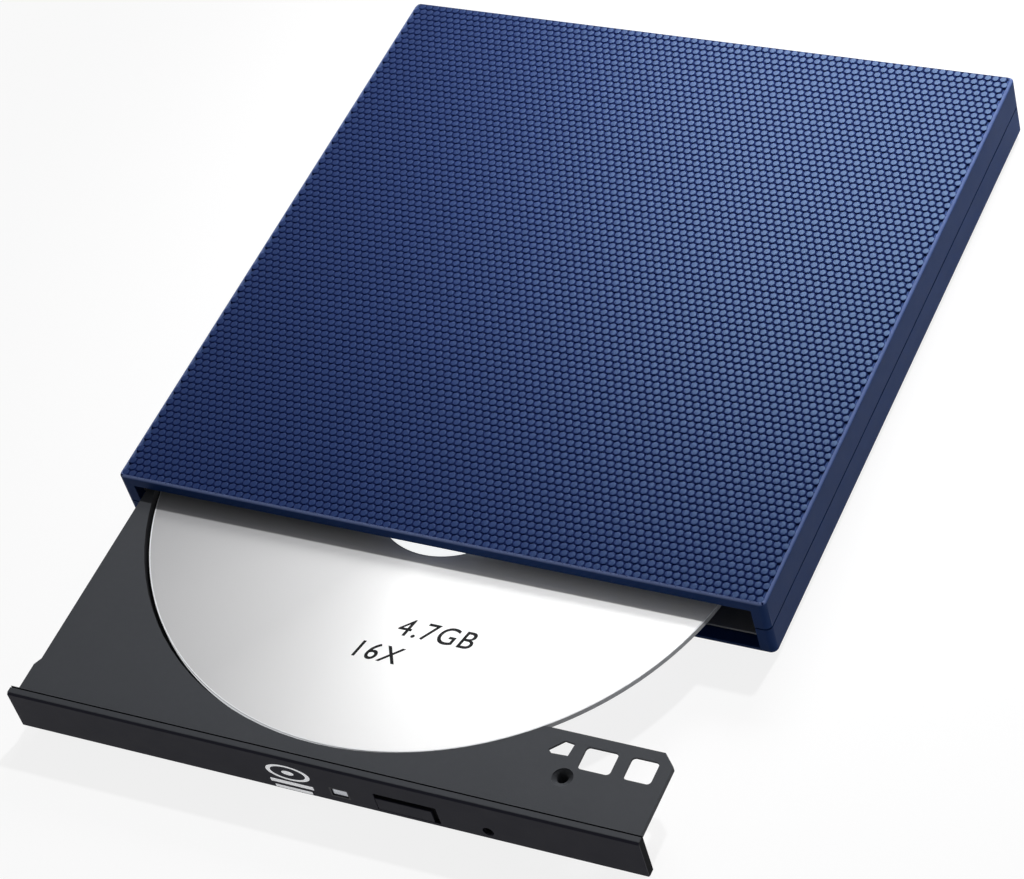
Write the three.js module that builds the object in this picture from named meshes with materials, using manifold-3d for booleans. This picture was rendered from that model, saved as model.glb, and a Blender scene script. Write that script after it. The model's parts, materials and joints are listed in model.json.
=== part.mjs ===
// External disc drive: a flat case, a pull-out drawer with a disc, and the works inside.
// Millimetres, +Z up, the drawer pulls out along -Y. The origin is on the surface the feet stand on,
// in the middle of the object as it stands with its drawer part way out.
import * as THREE from 'three';
import { mergeVertices } from 'three/addons/utils/BufferGeometryUtils.js';
import Module from 'manifold-3d';

const wasm = await Module();
wasm.setup();

// Case
const sideRoom = 1.5;
const rearRoom = 8.6;
const caseHeight = 14;
const cornerRadius = 1.3;
const edgeChamfer = 0.5;
const sideWall = 1.8;
const frontWall = 2;
const floorThick = 1.2;
const roofThick = 1.5;
const seamHeight = 6.9;
const seamGap = 0.3;
const mouthRoom = 0.2;

// Fits
const gap = 0.3;
const slideGap = 0.4;
const seatGap = 0.1;
const overrun = 1;

// Feet
const footRadius = 4;
const footProud = 1;
const footRecess = 0.4;
const footInset = 11.3;

// Screws of the case
const bossRadius = 2.4;
const bossInset = 4.7;
const bossRearInset = 5.1;
const caseShankRadius = 0.9;
const caseHeadRadius = 1.8;
const caseHeadThick = 0.6;
const caseScrewDepth = 8;

// Drawer position: how far it stands out
const drawerOut = 51.4;

// Drive unit inside the case
const discMargin = 4;
const discDepthRoom = 5.6;
const driveHeight = 9.5;
const driveClear = 0.4;
const driveFront = 2.3;
const sheet = 0.5;
const postRadius = 1.7;
const postInset = 2.7;
const postRearInset = 3;
const frontPostY = 24;
const lidShankRadius = 0.6;
const lidHeadRadius = 1.6;
const lidHeadThick = 0.45;
const lidScrewDepth = 3;
const lidFlange = 3.5;

// Boards and connectors
const boardThick = 0.8;
const mainBoardWidth = 10.5;
const mainBoardFront = 24;
const chipSide = 7;
const chipThick = 1;
const chipPitchShare = 0.265;
const dataWidth = 30;
const dataInset = 5;
const dataHeight = 3;
const dataDepth = 5.3;
const plugDepth = 3.4;
const bridgeWidth = 39.9;
const bridgeDepth = 4.4;
const bridgeRise = 2;
const bridgePostRadius = 1.5;
const usbInset = 6;
const usbWidth = 7.7;
const usbHeight = 3.9;
const usbDepth = 6.1;
const usbShell = 0.5;
const tongueThick = 1;
const tongueInset = 1.2;

// Flat cable between main board and drawer
const flexWidth = 14;
const flexLeft = 22;
const flexThick = 0.15;
const flexAnchor = 50;
const flexTurnRoom = 12.9;
const flexDrawerRun = 18;
const flexSocketDepth = 3;
const flexSocketRise = 2;

// Guides and telescoping rails
const guideFront = 6;
const guideRearRoom = 5.9;
const guideWidth = 4.6;
const guideHeight = 3.5;
const guideLip = 1.3;
const railFront = 12;
const railShort = 10;
const railSheet = 0.5;
const railHeight = 1.9;
const railInnerHeight = 1.7;
const runnerThick = 0.7;
const rightTrackInset = 16.8;
const slideShare = 0.5;

// Tray, in its own frame: y is the distance behind the bezel's front face
const trayFront = 2.2;
const trayRearRoom = 9.9;
const trayRoom = 1.1;
const trayHeadroom = 0.5;
const rimThick = 1.2;
const traySkin = 1;
const wingBack = 19.75;
const wingChamfer = 2.4;
const shoulderOut = 0.8;
const shoulderBack = 8.3;
const shoulderSlope = 1.6;
const recessRoom = 0.7;
const underInset = 6;
const underLeft = 28;
const rightRunnerFront = 40;
const frontWallInset = 4;
const rearWebFront = 104;
const recessFloor = 0.7;
const discSunk = 0.8;
const discClear = 0.9;
const hubHoleRadius = 15.6;
const sledSlotStart = 17;
const sledSlotHalf = 6.9;
const frontWallDrop = 3.3;
const boardBayLeft = 1;
const boardBayWidth = 26;
const trayPostRadius = 1.8;
const trayPostInset = 3.9;
const trayPostFront = 10;
const trayPostBack = 85;
const plateThick = 0.3;
const plateRoom = 0.7;
const plateFront = 3.4;
const plateMargin = 5;
const pushPadLeft = 4;
const pushPadWidth = 9;
const pushPadDrop = 2.9;

// Windows and screw hole of the wing
const windowFront = 12.7;
const windowDepth = 4.85;
const windowRadius = 0.8;
const windowAInset = 16.4;
const windowAWidth = 6.2;
const windowBInset = 7.7;
const windowBWidth = 5.2;
const wedgeInset = 22.9;
const wedgeFront = 14.6;
const wedgeWidth = 4.2;
const wedgeDepth = 3.1;
const wingHoleInset = 18.05;
const wingHoleY = 10.3;
const wingHoleRadius = 1.1;
const wingBossRadius = 2.2;
const wingBossDrop = 2.5;
const wingHoleDeep = 3.1;

// Bezel
const bezelHeight = 9.95;
const bezelThick = 1.9;
const bezelRise = 1.5;
const bezelChamfer = 0.4;
const ledX = 2.9;
const ledWidth = 3.2;
const ledRise = 2.2;
const ledHeight = 1.9;
const ledSunk = 0.2;
const buttonX = 11.9;
const buttonWidth = 12;
const buttonRise = 1.2;
const buttonHeight = 4.1;
const buttonStem = 1;
const buttonGroove = 0.4;
const buttonWing = 0.8;
const emergencyX = 33.85;
const emergencyRise = 2.4;
const emergencyRadius = 0.8;

// Tray board behind the bezel
const trayBoardWidth = 34;
const trayBoardFront = 3.5;
const trayBoardDepth = 6;
const trayBoardRise = 0.5;
const lampWidth = 2;
const lampDepth = 1.5;
const lampHeight = 1.6;
const switchWidth = 4;
const switchDepth = 2.4;
const switchHeight = 2;

// Disc, hub and spindle
const discRadius = 60;
const discBore = 7.5;
const discThick = 1.2;
const discX = -1.5;
const discSetBack = 6.2;
const padOuter = 14.2;
const padInner = 11;
const padThick = 0.3;
const turntableRadius = 14.5;
const turntableThick = 0.8;
const rotorRadius = 11.5;
const rotorWall = 0.6;
const rotorDrop = 2.5;
const shaftRadius = 1;
const statorRadius = 10;
const statorInner = 1.3;
const motorRadius = 13.5;
const motorRimThick = 0.9;
const motorBase = 0.6;
const hubRadius = 7.2;
const hubProud = 0.5;
const hubCrown = 0.8;
const clawCount = 3;
const clawWidth = 2.4;
const clawInner = 4.5;
const clawProud = 0.6;
const clawThick = 0.45;

// Pickup mechanism, along a line from the spindle to the front left
const sledAngle = 40;
const mechStart = -20.5;
const mechBeyond = 3.5;
const mechLeft = 16.5;
const mechRight = 20.5;
const mechThick = 0.6;
const mechWindowStart = 15.5;
const mechWindowBeyond = 1;
const mechWindowLeft = 14.8;
const mechWindowRight = 18.4;
const rotorHoleRadius = 12.4;
const rodRadius = 0.9;
const rodLeft = 12.3;
const rodRight = 10;
const rodHold = 1.6;
const rodBlockHalf = 1.9;
const screwRadius = 0.9;
const screwSide = 16.2;
const stepperStart = -12;
const stepperEnd = 0.2;
const stepperWidth = 5;
const sledPark = 24.5;
const sledHalf = 4.5;
const sledEdge = 0.7;
const sledPocketDeep = 1.5;
const lensHolderHalf = 3.6;
const lensHolderSide = 6;
const lensHolderThick = 1.4;
const lensHolderSunk = 0.9;
const lensRadius = 2.2;
const lensRise = 0.5;
const damperRadius = 3;
const damperWaist = 1.8;
const damperFlange = 0.5;
const damperBore = 1;
const earRadius = 3.6;
const damperHeadRadius = 2;
const damperHeadThick = 0.5;
const damperShankRadius = 0.7;

// Latch and ejector
const leverInset = 9.6;
const leverY = 5.9;
const leverLength = 7.6;
const leverHalf = 1.2;
const leverThick = 0.8;
const leverRise = 2.5;
const leverTooth = 3.2;
const toothDepth = 1.7;
const leverRelease = 16;
const leverEye = 2.2;
const pivotRadius = 0.9;
const latchPinReach = 2.7;
const latchPinRadius = 0.9;
const latchPinBase = 1.8;
const latchPinFlange = 0.4;
const latchPinHeight = 3.2;
const solenoidReach = 2;
const solenoidWidth = 4;
const solenoidFront = 4;
const solenoidDepth = 8;
const solenoidDrop = 2.9;
const ejectorX = 8.5;
const ejectorRadius = 1.2;
const ejectorLength = 4.6;
const ejectorBoxHalf = 3;
const ejectorBoxDepth = 7;
const ejectorBoxHeight = 4.8;

// Where the three dampers hold the mechanism plate
const damperBackX = -17.5;
const damperLeftShort = 10;
const damperLeftY = -19.5;
const damperRightX = 30;
const damperRightY = 23.5;

// Smoothness of round pieces
const coarse = 16;
const medium = 32;
const fine = 96;

// Lengths and places that follow from the disc, the walls and the fits
const driveWidth = 2 * (discRadius + discMargin);
const driveDepth = 2 * discRadius + discDepthRoom;
const driveBack = driveFront + driveDepth;
const caseWidth = driveWidth + 2 * (sideRoom + sideWall);
const caseDepth = driveBack + rearRoom + sideWall;
const bezelWidth = driveWidth;
const mouthWidth = bezelWidth + 2 * gap;
const mouthTop = bezelRise + bezelHeight + mouthRoom;
const discY = discRadius + discSetBack;
const recessRadius = discRadius + recessRoom;
const underRadius = discRadius - underInset;
const trayBack = driveBack - trayRearRoom;
const trayLeft = driveWidth / 2 - sheet - trayRoom;
const wingRight = driveWidth / 2 - sheet - slideGap;
const rightTrackX = driveWidth / 2 - rightTrackInset;
const guideLength = driveBack - guideRearRoom - guideFront;
const railLength = guideLength - railShort;
const frontWallHalf = driveWidth / 2 - frontWallInset;
const plateLeft = driveWidth / 2 - sheet - gap - guideWidth - plateRoom;
const plateRight = rightTrackX - gap - guideWidth - slideGap;
const plateBack = trayPostBack + plateMargin;
const trayPostLeft = plateLeft - trayPostInset;
const trayPostRight = plateRight - trayPostInset;
const mechEnd = discRadius + mechBeyond;
const mechWindowEnd = discRadius + mechWindowBeyond;
const sledSlotEnd = discRadius;
const damperLeftX = discRadius - damperLeftShort;
const windowAX = wingRight - windowAInset;
const windowBX = wingRight - windowBInset;
const wedgeX = wingRight - wedgeInset;
const wingHoleX = wingRight - wingHoleInset;
const leverX = wingRight - leverInset;
const latchPinX = leverX + latchPinReach;
const solenoidX = leverX + solenoidReach;
const mainBoardLeft = rightTrackX + gap;
const mainBoardDepth = driveBack - seatGap - dataDepth - slideGap - mainBoardFront;
const dataLeft = driveWidth / 2 - dataInset - dataWidth;
const bridgeLeft = caseWidth / 2 - bossInset - bossRadius - gap - bridgeWidth;
const usbLeft = bridgeLeft + usbInset;
const flexTurnClosed = driveBack - flexTurnRoom;
const flexDrawerEnd = trayBack - flexDrawerRun;

// Heights that follow from the stack
const driveBottom = floorThick + driveClear;
const panTop = driveBottom + sheet;
const lidBottom = driveBottom + driveHeight - sheet;
const wallTop = lidBottom - gap;
const roofBottom = caseHeight - roofThick;
const trayTop = lidBottom - trayHeadroom;
const rimBottom = trayTop - rimThick;
const discTop = trayTop - discSunk;
const discBottom = discTop - discThick;
const recessTop = discBottom - discClear;
const trayUnder = recessTop - recessFloor;
const guideBottom = panTop + gap;
const guideBaseTop = guideBottom + sheet;
const railBottom = guideBaseTop + gap;
const runnerBottom = railBottom + railSheet + gap;
const plateBottom = panTop + slideGap;
const plateTop = plateBottom + plateThick;
const mechFloor = plateTop + gap;
const mechTop = trayUnder - gap;
const mechBottom = mechTop - mechThick;
const rodAxisZ = (mechFloor + mechTop) / 2;
const bezelTop = bezelRise + bezelHeight;
const ejectorZ = panTop + ejectorBoxHeight / 2;
const ejectorTip = trayBack + slideGap;
const leverBottom = panTop + leverRise;
const damperPlaces = [[damperBackX, 0], [damperLeftX, damperLeftY], [damperRightX, damperRightY]];

// Geometry helpers

function toSolid(geometry) {
  const bare = geometry.clone();
  bare.deleteAttribute('normal');
  bare.deleteAttribute('uv');
  const merged = mergeVertices(bare);
  const vertProperties = Float32Array.from(merged.attributes.position.array);
  const corners = Array.from(merged.index.array);
  const whole = corners.filter((_, place) => {
    const first = place - (place % 3);
    const [a, b, c] = corners.slice(first, first + 3);
    return a !== b && b !== c && c !== a;
  });
  const triVerts = Uint32Array.from(whole);
  return new wasm.Manifold(new wasm.Mesh({ numProp: 3, vertProperties, triVerts }));
}

function toGeometry(solid) {
  const mesh = solid.getMesh();
  const geometry = new THREE.BufferGeometry();
  geometry.setAttribute('position', new THREE.BufferAttribute(mesh.vertProperties, 3));
  geometry.setIndex(new THREE.BufferAttribute(mesh.triVerts, 1));
  return geometry;
}

function join(first, ...others) {
  return toGeometry(others.reduce((sum, one) => sum.add(toSolid(one)), toSolid(first)));
}

function cut(first, ...others) {
  return toGeometry(others.reduce((rest, one) => rest.subtract(toSolid(one)), toSolid(first)));
}

function common(first, second) {
  return toGeometry(toSolid(first).intersect(toSolid(second)));
}

function box(x0, x1, y0, y1, z0, z1) {
  const geometry = new THREE.BoxGeometry(x1 - x0, y1 - y0, z1 - z0);
  return geometry.translate((x0 + x1) / 2, (y0 + y1) / 2, (z0 + z1) / 2);
}

function post(x, y, z0, z1, radius, segments = coarse) {
  const geometry = new THREE.CylinderGeometry(radius, radius, z1 - z0, segments);
  return geometry.rotateX(Math.PI / 2).translate(x, y, (z0 + z1) / 2);
}

function rodAlongX(y, z, x0, x1, radius, segments = coarse) {
  const geometry = new THREE.CylinderGeometry(radius, radius, x1 - x0, segments);
  return geometry.rotateZ(Math.PI / 2).translate((x0 + x1) / 2, y, z);
}

function rodAlongY(x, z, y0, y1, radius, segments = coarse) {
  const geometry = new THREE.CylinderGeometry(radius, radius, y1 - y0, segments);
  return geometry.translate(x, (y0 + y1) / 2, z);
}

function polygon(points) {
  return new THREE.Shape(points.map(([x, y]) => new THREE.Vector2(x, y)));
}

function roundedRectangle(x0, x1, y0, y1, radius) {
  const shape = new THREE.Shape();
  shape.absarc(x1 - radius, y0 + radius, radius, -Math.PI / 2, 0);
  shape.absarc(x1 - radius, y1 - radius, radius, 0, Math.PI / 2);
  shape.absarc(x0 + radius, y1 - radius, radius, Math.PI / 2, Math.PI);
  shape.absarc(x0 + radius, y0 + radius, radius, Math.PI, Math.PI * 1.5);
  return shape;
}

function slab(shape, z0, z1, curveSegments = 4) {
  const geometry = new THREE.ExtrudeGeometry(shape, { depth: z1 - z0, bevelEnabled: false, curveSegments });
  return geometry.translate(0, 0, z0);
}

// A bar along Y whose section is given as points of x and z
function barAlongY(points, y0, y1) {
  const geometry = new THREE.ExtrudeGeometry(polygon(points), { depth: y1 - y0, bevelEnabled: false });
  return geometry.rotateX(Math.PI / 2).translate(0, y1, 0);
}

function turned(points, segments = medium) {
  const profile = points.map(([radius, z]) => new THREE.Vector2(radius, z));
  return new THREE.LatheGeometry(profile, segments).rotateX(Math.PI / 2);
}

// Finishes: colour, roughness, metalness
const finishes = {
  caseBlue: [0x2c4677, 0.45, 0.1],
  rubber: [0x17181a, 0.9, 0],
  steel: [0xa9adb2, 0.35, 0.9],
  zincSteel: [0x9a9c9e, 0.45, 0.85],
  darkSteel: [0x54585e, 0.4, 0.85],
  trayGrey: [0x444548, 0.6, 0],
  bezelNavy: [0x26262f, 0.4, 0],
  blackPlastic: [0x15161a, 0.5, 0],
  whitePlastic: [0xd8dadc, 0.35, 0],
  boardGreen: [0x1f5a3c, 0.55, 0],
  flexOrange: [0xb07a30, 0.45, 0],
  discSilver: [0xd4d6da, 0.25, 0.6],
  lensGlass: [0x6f86c8, 0.05, 0],
};

function part(name, finish, geometry) {
  const [color, roughness, metalness] = finishes[finish];
  const mesh = new THREE.Mesh(geometry, new THREE.MeshStandardMaterial({ color, roughness, metalness }));
  mesh.name = name;
  mesh.geometry.computeVertexNormals();
  return mesh;
}

// Case

function caseBlock() {
  const inset = edgeChamfer;
  const outline = roundedRectangle(
    -caseWidth / 2 + inset, caseWidth / 2 - inset, inset, caseDepth - inset, cornerRadius - inset);
  const geometry = new THREE.ExtrudeGeometry(outline, {
    depth: caseHeight - 2 * inset, curveSegments: 4, bevelThickness: inset, bevelSize: inset, bevelSegments: 1,
  });
  return geometry.translate(0, 0, inset);
}

function caseHollows() {
  const half = caseWidth / 2 - sideWall;
  const usbZ = usbBottom();
  return [
    box(-half, half, frontWall, caseDepth - sideWall, floorThick, roofBottom),
    box(-mouthWidth / 2, mouthWidth / 2, -overrun, frontWall + overrun, floorThick, mouthTop),
    box(usbLeft - gap, usbLeft + usbWidth + gap, caseDepth - sideWall - overrun, caseDepth + overrun,
      usbZ - gap, usbZ + usbHeight + gap),
  ];
}

function casePlaces(sideInset, frontInset, rearInset) {
  const x = caseWidth / 2 - sideInset;
  return [['front_left', -x, frontInset], ['front_right', x, frontInset],
    ['rear_left', -x, caseDepth - rearInset], ['rear_right', x, caseDepth - rearInset]];
}

const footPlaces = casePlaces(footInset, footInset, footInset);
const bossPlaces = casePlaces(bossInset, bossRearInset, bossRearInset).slice(2);

function topCover() {
  const half = caseWidth;
  const above = box(-half, half, -overrun, caseDepth + overrun, seamHeight + seamGap / 2, caseHeight + overrun);
  const shell = common(cut(caseBlock(), ...caseHollows()), above);
  const bosses = bossPlaces.map(([, x, y]) => post(x, y, floorThick + gap, roofBottom + gap, bossRadius));
  const bores = bossPlaces.map(([, x, y]) =>
    post(x, y, 0, floorThick + caseScrewDepth, caseShankRadius + gap));
  return cut(join(shell, ...bosses), ...bores);
}

function bottomCover() {
  const half = caseWidth;
  const below = box(-half, half, -overrun, caseDepth + overrun, -overrun, seamHeight - seamGap / 2);
  const shell = common(cut(caseBlock(), ...caseHollows()), below);
  const props = bridgePostPlaces().map(([x, y]) =>
    post(x, y, floorThick - gap, floorThick + bridgeRise - gap, bridgePostRadius));
  const recesses = footPlaces.map(([, x, y]) =>
    post(x, y, -overrun, footRecess, footRadius + gap, medium));
  const holes = bossPlaces.map(([, x, y]) =>
    post(x, y, -overrun, floorThick + overrun, caseShankRadius + gap));
  const sinks = bossPlaces.map(([, x, y]) =>
    post(x, y, -overrun, caseHeadThick + 2 * seatGap, caseHeadRadius + gap));
  return cut(join(shell, ...props), ...recesses, ...holes, ...sinks);
}

function caseScrew(x, y) {
  return join(
    post(x, y, seatGap, seatGap + caseHeadThick, caseHeadRadius),
    post(x, y, seatGap + caseHeadThick / 2, floorThick + caseScrewDepth - gap, caseShankRadius));
}

// Boards and connectors at the back of the case

function bridgeBottom() {
  return floorThick + bridgeRise;
}

function usbBottom() {
  return bridgeBottom() + boardThick + seatGap;
}

function bridgeBack() {
  return caseDepth - sideWall - gap;
}

function bridgePostPlaces() {
  const y = bridgeBack() - bridgeDepth / 2;
  return [[bridgeLeft + bridgeDepth, y], [bridgeLeft + bridgeWidth - bridgePostRadius, y]];
}

function bridgeBoard() {
  const z = bridgeBottom();
  const back = bridgeBack();
  const chipX = bridgeLeft + bridgeWidth - chipSide - bridgePostRadius;
  return join(
    box(bridgeLeft, bridgeLeft + bridgeWidth, back - bridgeDepth, back, z, z + boardThick),
    box(chipX, chipX + chipSide, back - bridgeDepth + gap, back - gap, z + boardThick / 2,
      z + boardThick + chipThick));
}

function usbSocket() {
  const z = usbBottom();
  const back = caseDepth - gap;
  return cut(
    box(usbLeft, usbLeft + usbWidth, back - usbDepth, back, z, z + usbHeight),
    box(usbLeft + usbShell, usbLeft + usbWidth - usbShell, back - usbDepth + usbShell, back + overrun,
      z + usbShell, z + usbHeight - usbShell));
}

function usbTongue() {
  const middle = usbBottom() + usbHeight / 2;
  const back = caseDepth - gap;
  const side = usbShell + tongueInset;
  return box(usbLeft + side, usbLeft + usbWidth - side, back - usbDepth + usbShell + seatGap, back - tongueInset,
    middle - tongueThick / 2, middle + tongueThick / 2);
}

function dataPlug() {
  const front = driveBack + gap;
  return box(dataLeft, dataLeft + dataWidth, front, front + plugDepth, guideBottom, guideBottom + dataHeight);
}

function dataSocket() {
  const back = driveBack - seatGap;
  return box(dataLeft, dataLeft + dataWidth, back - dataDepth, back, guideBottom, guideBottom + dataHeight);
}

// Drive unit: pan, lid, boards

const postX = driveWidth / 2 - postInset;
const drivePosts = [[postX, frontPostY], [-postX, driveBack - postRearInset], [postX, driveBack - postRearInset]];

function driveChassis() {
  const half = driveWidth / 2;
  const inner = half - sheet;
  const pan = cut(
    box(-half, half, driveFront, driveBack, driveBottom, wallTop),
    box(-inner, inner, driveFront - overrun, driveBack - sheet, panTop, wallTop + overrun),
    box(dataLeft - gap, dataLeft + dataWidth + gap, driveBack - sheet - overrun, driveBack + overrun,
      panTop, guideBottom + dataHeight + gap));
  const posts = drivePosts.map(([x, y]) => post(x, y, panTop - sheet / 2, wallTop, postRadius));
  const back = driveBack - sheet / 2;
  const ejectorBox = box(ejectorX - ejectorBoxHalf, ejectorX + ejectorBoxHalf, back - ejectorBoxDepth, back,
    panTop - sheet / 2, panTop + ejectorBoxHeight);
  const bores = drivePosts.map(([x, y]) =>
    post(x, y, wallTop - lidScrewDepth, wallTop + overrun, lidShankRadius + gap));
  const ejectorBore = rodAlongY(ejectorX, ejectorZ, back - ejectorBoxDepth - overrun, driveBack - 2 * sheet,
    ejectorRadius + gap);
  return cut(join(pan, ...posts, ejectorBox), ...bores, ejectorBore);
}

function driveLid() {
  const inner = driveWidth / 2 + gap;
  const outer = inner + sheet;
  const top = lidBottom + sheet;
  const skirt = top - lidFlange;
  const section = [[-outer, skirt], [-outer, top], [outer, top], [outer, skirt],
    [inner, skirt], [inner, lidBottom], [-inner, lidBottom], [-inner, skirt]];
  const holes = drivePosts.map(([x, y]) =>
    post(x, y, lidBottom - overrun, top + overrun, lidShankRadius + gap));
  return cut(barAlongY(section, driveFront, driveBack), ...holes);
}

function lidScrew(x, y) {
  const seat = lidBottom + sheet + seatGap;
  return join(
    post(x, y, seat, seat + lidHeadThick, lidHeadRadius),
    post(x, y, wallTop - lidScrewDepth + gap, seat + lidHeadThick / 2, lidShankRadius));
}

function mainBoard() {
  const z = guideBottom;
  const right = mainBoardLeft + mainBoardWidth;
  const chipX = right - chipSide - lidHeadRadius;
  const chips = [1, 2].map((count) => {
    const y = flexAnchor + count * chipPitchShare * mainBoardDepth;
    return box(chipX, chipX + chipSide, y, y + chipSide, z + boardThick / 2, z + boardThick + chipThick);
  });
  const socket = box(mainBoardLeft, mainBoardLeft + flexSocketDepth, flexAnchor - flexWidth / 2,
    flexAnchor + flexWidth / 2, z, z + flexSocketRise);
  return join(
    box(mainBoardLeft, right, mainBoardFront, mainBoardFront + mainBoardDepth, z, z + boardThick),
    ...chips, socket);
}

function barAlongX(shape, x0, x1, curveSegments = 4) {
  const geometry = new THREE.ExtrudeGeometry(shape, { depth: x1 - x0, bevelEnabled: false, curveSegments });
  const turn = new THREE.Matrix4().makeBasis(
    new THREE.Vector3(0, 1, 0), new THREE.Vector3(0, 0, 1), new THREE.Vector3(1, 0, 0));
  return geometry.applyMatrix4(turn).translate(x0, 0, 0);
}

// The flat cable lies on the pan, folds up in a half turn and runs forward under the tray
function flexCable() {
  const low = panTop + flexThick / 2;
  const high = trayUnder - gap;
  const radius = (high - low) / 2;
  const turnY = flexTurnClosed - drawerOut * slideShare;
  const endY = flexDrawerEnd - drawerOut;
  const middle = low + radius;
  const shape = new THREE.Shape();
  shape.moveTo(flexAnchor, low);
  shape.lineTo(turnY, low);
  shape.absarc(turnY, middle, radius, -Math.PI / 2, Math.PI / 2);
  shape.lineTo(endY, high);
  shape.lineTo(endY, high - flexThick);
  shape.lineTo(turnY, high - flexThick);
  shape.absarc(turnY, middle, radius - flexThick, Math.PI / 2, -Math.PI / 2, true);
  shape.lineTo(flexAnchor, low + flexThick);
  const leg = box(flexLeft, mainBoardLeft - gap, flexAnchor - flexWidth / 2, flexAnchor + flexWidth / 2,
    low, low + flexThick);
  return join(barAlongX(shape, flexLeft, flexLeft + flexWidth, 6), leg);
}

// Guides, rails and runners share one section, told by the distance in from the wall that carries them

const railOuter = gap + sheet + slideGap;
const railInnerFace = railOuter + railSheet;
const runnerNear = railInnerFace + slideGap;
const runnerFar = runnerNear + runnerThick;
const railInnerWeb = runnerFar + slideGap;
const railFar = railInnerWeb + railSheet;

const leftTrack = (distance) => -driveWidth / 2 + sheet + distance;
const rightTrack = (distance) => rightTrackX - distance;

function guide(track) {
  const near = track(gap);
  const far = track(gap + guideWidth);
  const web = track(gap + sheet);
  const lip = track(gap + guideLip);
  const top = guideBottom + guideHeight;
  const section = [[near, guideBottom], [far, guideBottom], [far, guideBaseTop], [web, guideBaseTop],
    [web, top - sheet], [lip, top - sheet], [lip, top], [near, top]];
  return barAlongY(section, guideFront, guideFront + guideLength);
}

function rail(track) {
  const floor = railBottom + railSheet;
  const innerTop = railBottom + railInnerHeight;
  const outerTop = railBottom + railHeight;
  const section = [[track(railOuter), railBottom], [track(railFar), railBottom], [track(railFar), innerTop],
    [track(railInnerWeb), innerTop], [track(railInnerWeb), floor], [track(railInnerFace), floor],
    [track(railInnerFace), outerTop], [track(railOuter), outerTop]];
  return barAlongY(section, railFront, railFront + railLength);
}

// Tray

const bodyRight = rightTrack(runnerNear);
const mechTurn = -Math.PI / 2 - THREE.MathUtils.degToRad(sledAngle);

function onMechanism(geometry) {
  return geometry.rotateZ(mechTurn).translate(discX, discY, 0);
}

function acrossDisc(radius, z0, z1, segments = fine) {
  return post(discX, discY, z0, z1, radius, segments);
}

// What must stay clear below the disc's front right edge
function openUnderDisc(z0, z1) {
  return cut(
    box(underLeft, wingRight + overrun, trayFront + traySkin, discY, z0, z1),
    acrossDisc(underRadius, z0 - overrun, z1 + overrun));
}

function rimPlate() {
  const shoulder = trayLeft + shoulderOut;
  const outline = polygon([
    [-shoulder, trayFront], [wingRight, trayFront], [wingRight, wingBack - wingChamfer],
    [wingRight - wingChamfer, wingBack], [bodyRight, wingBack], [bodyRight, trayBack], [-trayLeft, trayBack],
    [-trayLeft, shoulderBack + shoulderSlope], [-shoulder, shoulderBack]]);
  const behindWing = box(underLeft, wingRight, wingBack, discY, rimBottom - overrun, trayTop + overrun);
  return cut(slab(outline, rimBottom, trayTop), behindWing);
}

function trayTub() {
  const top = rimBottom + rimThick / 2;
  const round = acrossDisc(recessRadius + traySkin, trayUnder, top);
  const body = common(round, box(-trayLeft, bodyRight, trayFront, trayBack, trayUnder, top));
  return cut(body, openUnderDisc(trayUnder - overrun, top + overrun));
}

function trayRunners() {
  const top = rimBottom + rimThick / 2;
  const joinZ = trayUnder + recessFloor / 2;
  return [
    box(-trayLeft, -trayLeft + traySkin / 2, trayFront, trayBack, guideBottom + guideHeight + slideGap, top),
    box(leftTrack(runnerNear), leftTrack(runnerFar), trayFront, trayBack, runnerBottom, top),
    box(rightTrack(runnerFar), rightTrack(runnerNear), rightRunnerFront, trayBack, runnerBottom, joinZ),
    box(rightTrack(runnerFar), rightTrack(runnerNear), rearWebFront, trayBack, trayUnder, top),
  ];
}

function trayPosts() {
  const top = rimBottom + rimThick / 2;
  const corners = [[-trayPostLeft, trayPostFront], [trayPostRight, trayPostFront],
    [-trayPostLeft, trayPostBack], [trayPostRight, trayPostBack]];
  return [
    ...corners.map(([x, y]) => post(x, y, plateTop + gap, top, trayPostRadius)),
    post(wingHoleX, wingHoleY, rimBottom - wingBossDrop, top, wingBossRadius),
    post(leverX, leverY, leverBottom - gap, top, pivotRadius),
  ];
}

function wingWindows() {
  const z0 = rimBottom - overrun;
  const z1 = trayTop + overrun;
  const back = windowFront + windowDepth;
  const wedgeShares = [[0, 0.22], [0.19, 0], [0.94, 0.05], [1, 0.92], [0.53, 1]];
  const wedge = polygon(wedgeShares.map(([x, y]) => [wedgeX + x * wedgeWidth, wedgeFront + y * wedgeDepth]));
  const windowA = roundedRectangle(windowAX, windowAX + windowAWidth, windowFront, back, windowRadius);
  const windowB = roundedRectangle(windowBX, windowBX + windowBWidth, windowFront, back, windowRadius);
  return [slab(wedge, z0, z1), slab(windowA, z0, z1), slab(windowB, z0, z1)];
}

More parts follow.
